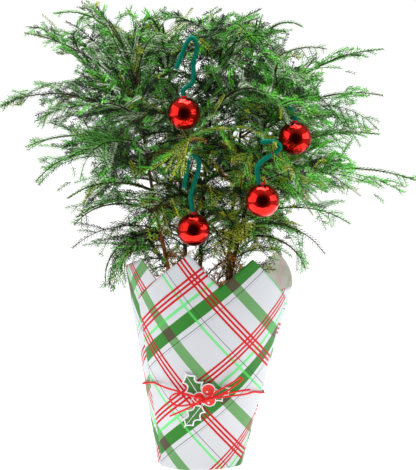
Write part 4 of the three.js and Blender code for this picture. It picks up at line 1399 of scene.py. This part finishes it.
class SetStage(bpy.types.Operator):
    """Sets the floor, the studio lights, the surroundings and the camera"""

    bl_idname = "pine.set_stage"
    bl_label = "Stage"

    def light(self, name, place, aim, width, height, power):
        lamp = bpy.data.lights.new(name, "AREA")
        lamp.shape, lamp.size, lamp.size_y, lamp.energy = "RECTANGLE", width, height, power
        thing = bpy.data.objects.new(name, lamp)
        thing.location = place
        thing.rotation_euler = (Vector(aim) - Vector(place)).to_track_quat("-Z", "Y").to_euler()
        bpy.context.scene.collection.objects.link(thing)
        return thing

    def floor(self, scene):
        bm = bmesh.new()
        bmesh.ops.create_grid(bm, x_segments=2, y_segments=2, size=0.85)
        bmesh.ops.translate(bm, vec=(0, 0.4, 0), verts=bm.verts)
        mesh = bpy.data.meshes.new("floor")
        bm.to_mesh(mesh)
        bm.free()
        floor = bpy.data.objects.new("floor", mesh)
        scene.collection.objects.link(floor)
        white = Finish("Floor", roughness=1.0, specular_ior_level=0.0)
        white.set(emission_color=(1, 1, 1, 1), emission_strength=0.8)
        white.set(base_color=white.mix(white.noise(3), linear(244, 244, 245), linear(238, 238, 240)))
        mesh.materials.append(white.material)
        floor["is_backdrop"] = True

    def surroundings(self, scene):
        """Dim light from all round. Mirrors see bright studio walls, and darkness towards the front."""
        scene.world = bpy.data.worlds.new("Surroundings")
        scene.world.use_nodes = True
        tree = Tree(scene.world.node_tree)
        way = tree.node("ShaderNodeSeparateXYZ", None, {0: tree.node("ShaderNodeTexCoord")}, output="Y")
        span = {0: way, 1: -0.93, 2: -0.35, 3: 0.0, 4: 1.0}
        room = tree.node("ShaderNodeMapRange", {"interpolation_type": "SMOOTHSTEP"}, span)
        mirrored = tree.mix(room, (0.02, 0.02, 0.02, 1), (0.5, 0.5, 0.5, 1))
        in_mirror = tree.node("ShaderNodeLightPath", output="Is Glossy Ray")
        in_camera = tree.node("ShaderNodeLightPath", output="Is Camera Ray")
        around = tree.mix(in_mirror, (0.055, 0.058, 0.062, 1), mirrored)
        seen = tree.mix(in_camera, around, (1.1, 1.1, 1.1, 1))
        tree.feed(tree.nodes["Background"].inputs["Color"], seen)

    def camera(self, scene, s):
        back = Vector((0, -math.cos(s.elevation), math.sin(s.elevation)))
        lens = bpy.data.cameras.new("Camera")
        lens.lens, lens.sensor_width, lens.sensor_fit = s.lens, 36, "AUTO"
        camera = bpy.data.objects.new("Camera", lens)
        camera.location = Vector(EYE_AIM) * MM + back * s.distance
        camera.rotation_euler = (-back).to_track_quat("-Z", "Y").to_euler()
        scene.collection.objects.link(camera)
        scene.camera = camera

    def execute(self, context):
        s, scene = context.scene.pine_stage, context.scene
        self.floor(scene)
        self.surroundings(scene)
        self.light("Key light", (-1.4, -0.35, 0.8), (0, -0.1, 0.4), 2.2, 1.4, s.key)
        self.light("Fill light", (1.5, -0.35, 0.72), (0, -0.1, 0.4), 1.5, 0.7, s.fill)
        front = self.light("Front light", (-0.5, -2.0, 1.5), (0, 0, 0.35), 1.2, 0.8, s.front)
        front.visible_glossy = False  # or the balls would mirror it
        self.light("Top light", (0.1, 0.2, 2.1), (0, 0, 0.3), 1.6, 1.2, s.top)
        self.camera(scene, s)
        scene.view_settings.view_transform = "Standard"
        return {"FINISHED"}


OPERATORS = (SetStage, MakePot, FillPot, WrapPot, TieTwine, HangTag, MakeStems, GrowFoliage, HangBalls)


class PinePanel(bpy.types.Panel):
    """Lists the pieces of the potted pine in the order they are made"""

    bl_idname = "VIEW3D_PT_potted_pine"
    bl_label = "Potted Pine"
    bl_space_type = "VIEW_3D"
    bl_region_type = "UI"
    bl_category = "Potted Pine"

    def draw(self, context):
        for operator in OPERATORS:
            self.layout.operator(operator.bl_idname)
        for name, group in SETTINGS.items():
            box = self.layout.box()
            box.label(text=group.__doc__)
            for key in group.__annotations__:
                box.prop(getattr(context.scene, name), key)


def register():
    for group in SETTINGS.values():
        bpy.utils.register_class(group)
    for name, group in SETTINGS.items():
        setattr(bpy.types.Scene, name, bpy.props.PointerProperty(type=group))
    for kind in (*OPERATORS, PinePanel):
        bpy.utils.register_class(kind)


def unregister():
    for kind in (PinePanel, *reversed(OPERATORS)):
        bpy.utils.unregister_class(kind)
    for name, group in SETTINGS.items():
        delattr(bpy.types.Scene, name)
        bpy.utils.unregister_class(group)


def main():
    register()
    for operator in OPERATORS:
        group, name = operator.bl_idname.split(".")
        getattr(getattr(bpy.ops, group), name)()
    boxes = {"solids": SOLIDS_BOX, "dressed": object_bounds()}
    {name: [list(corner) for corner in box] for name, box in boxes.items()}


if __name__ == "__main__":
    main()
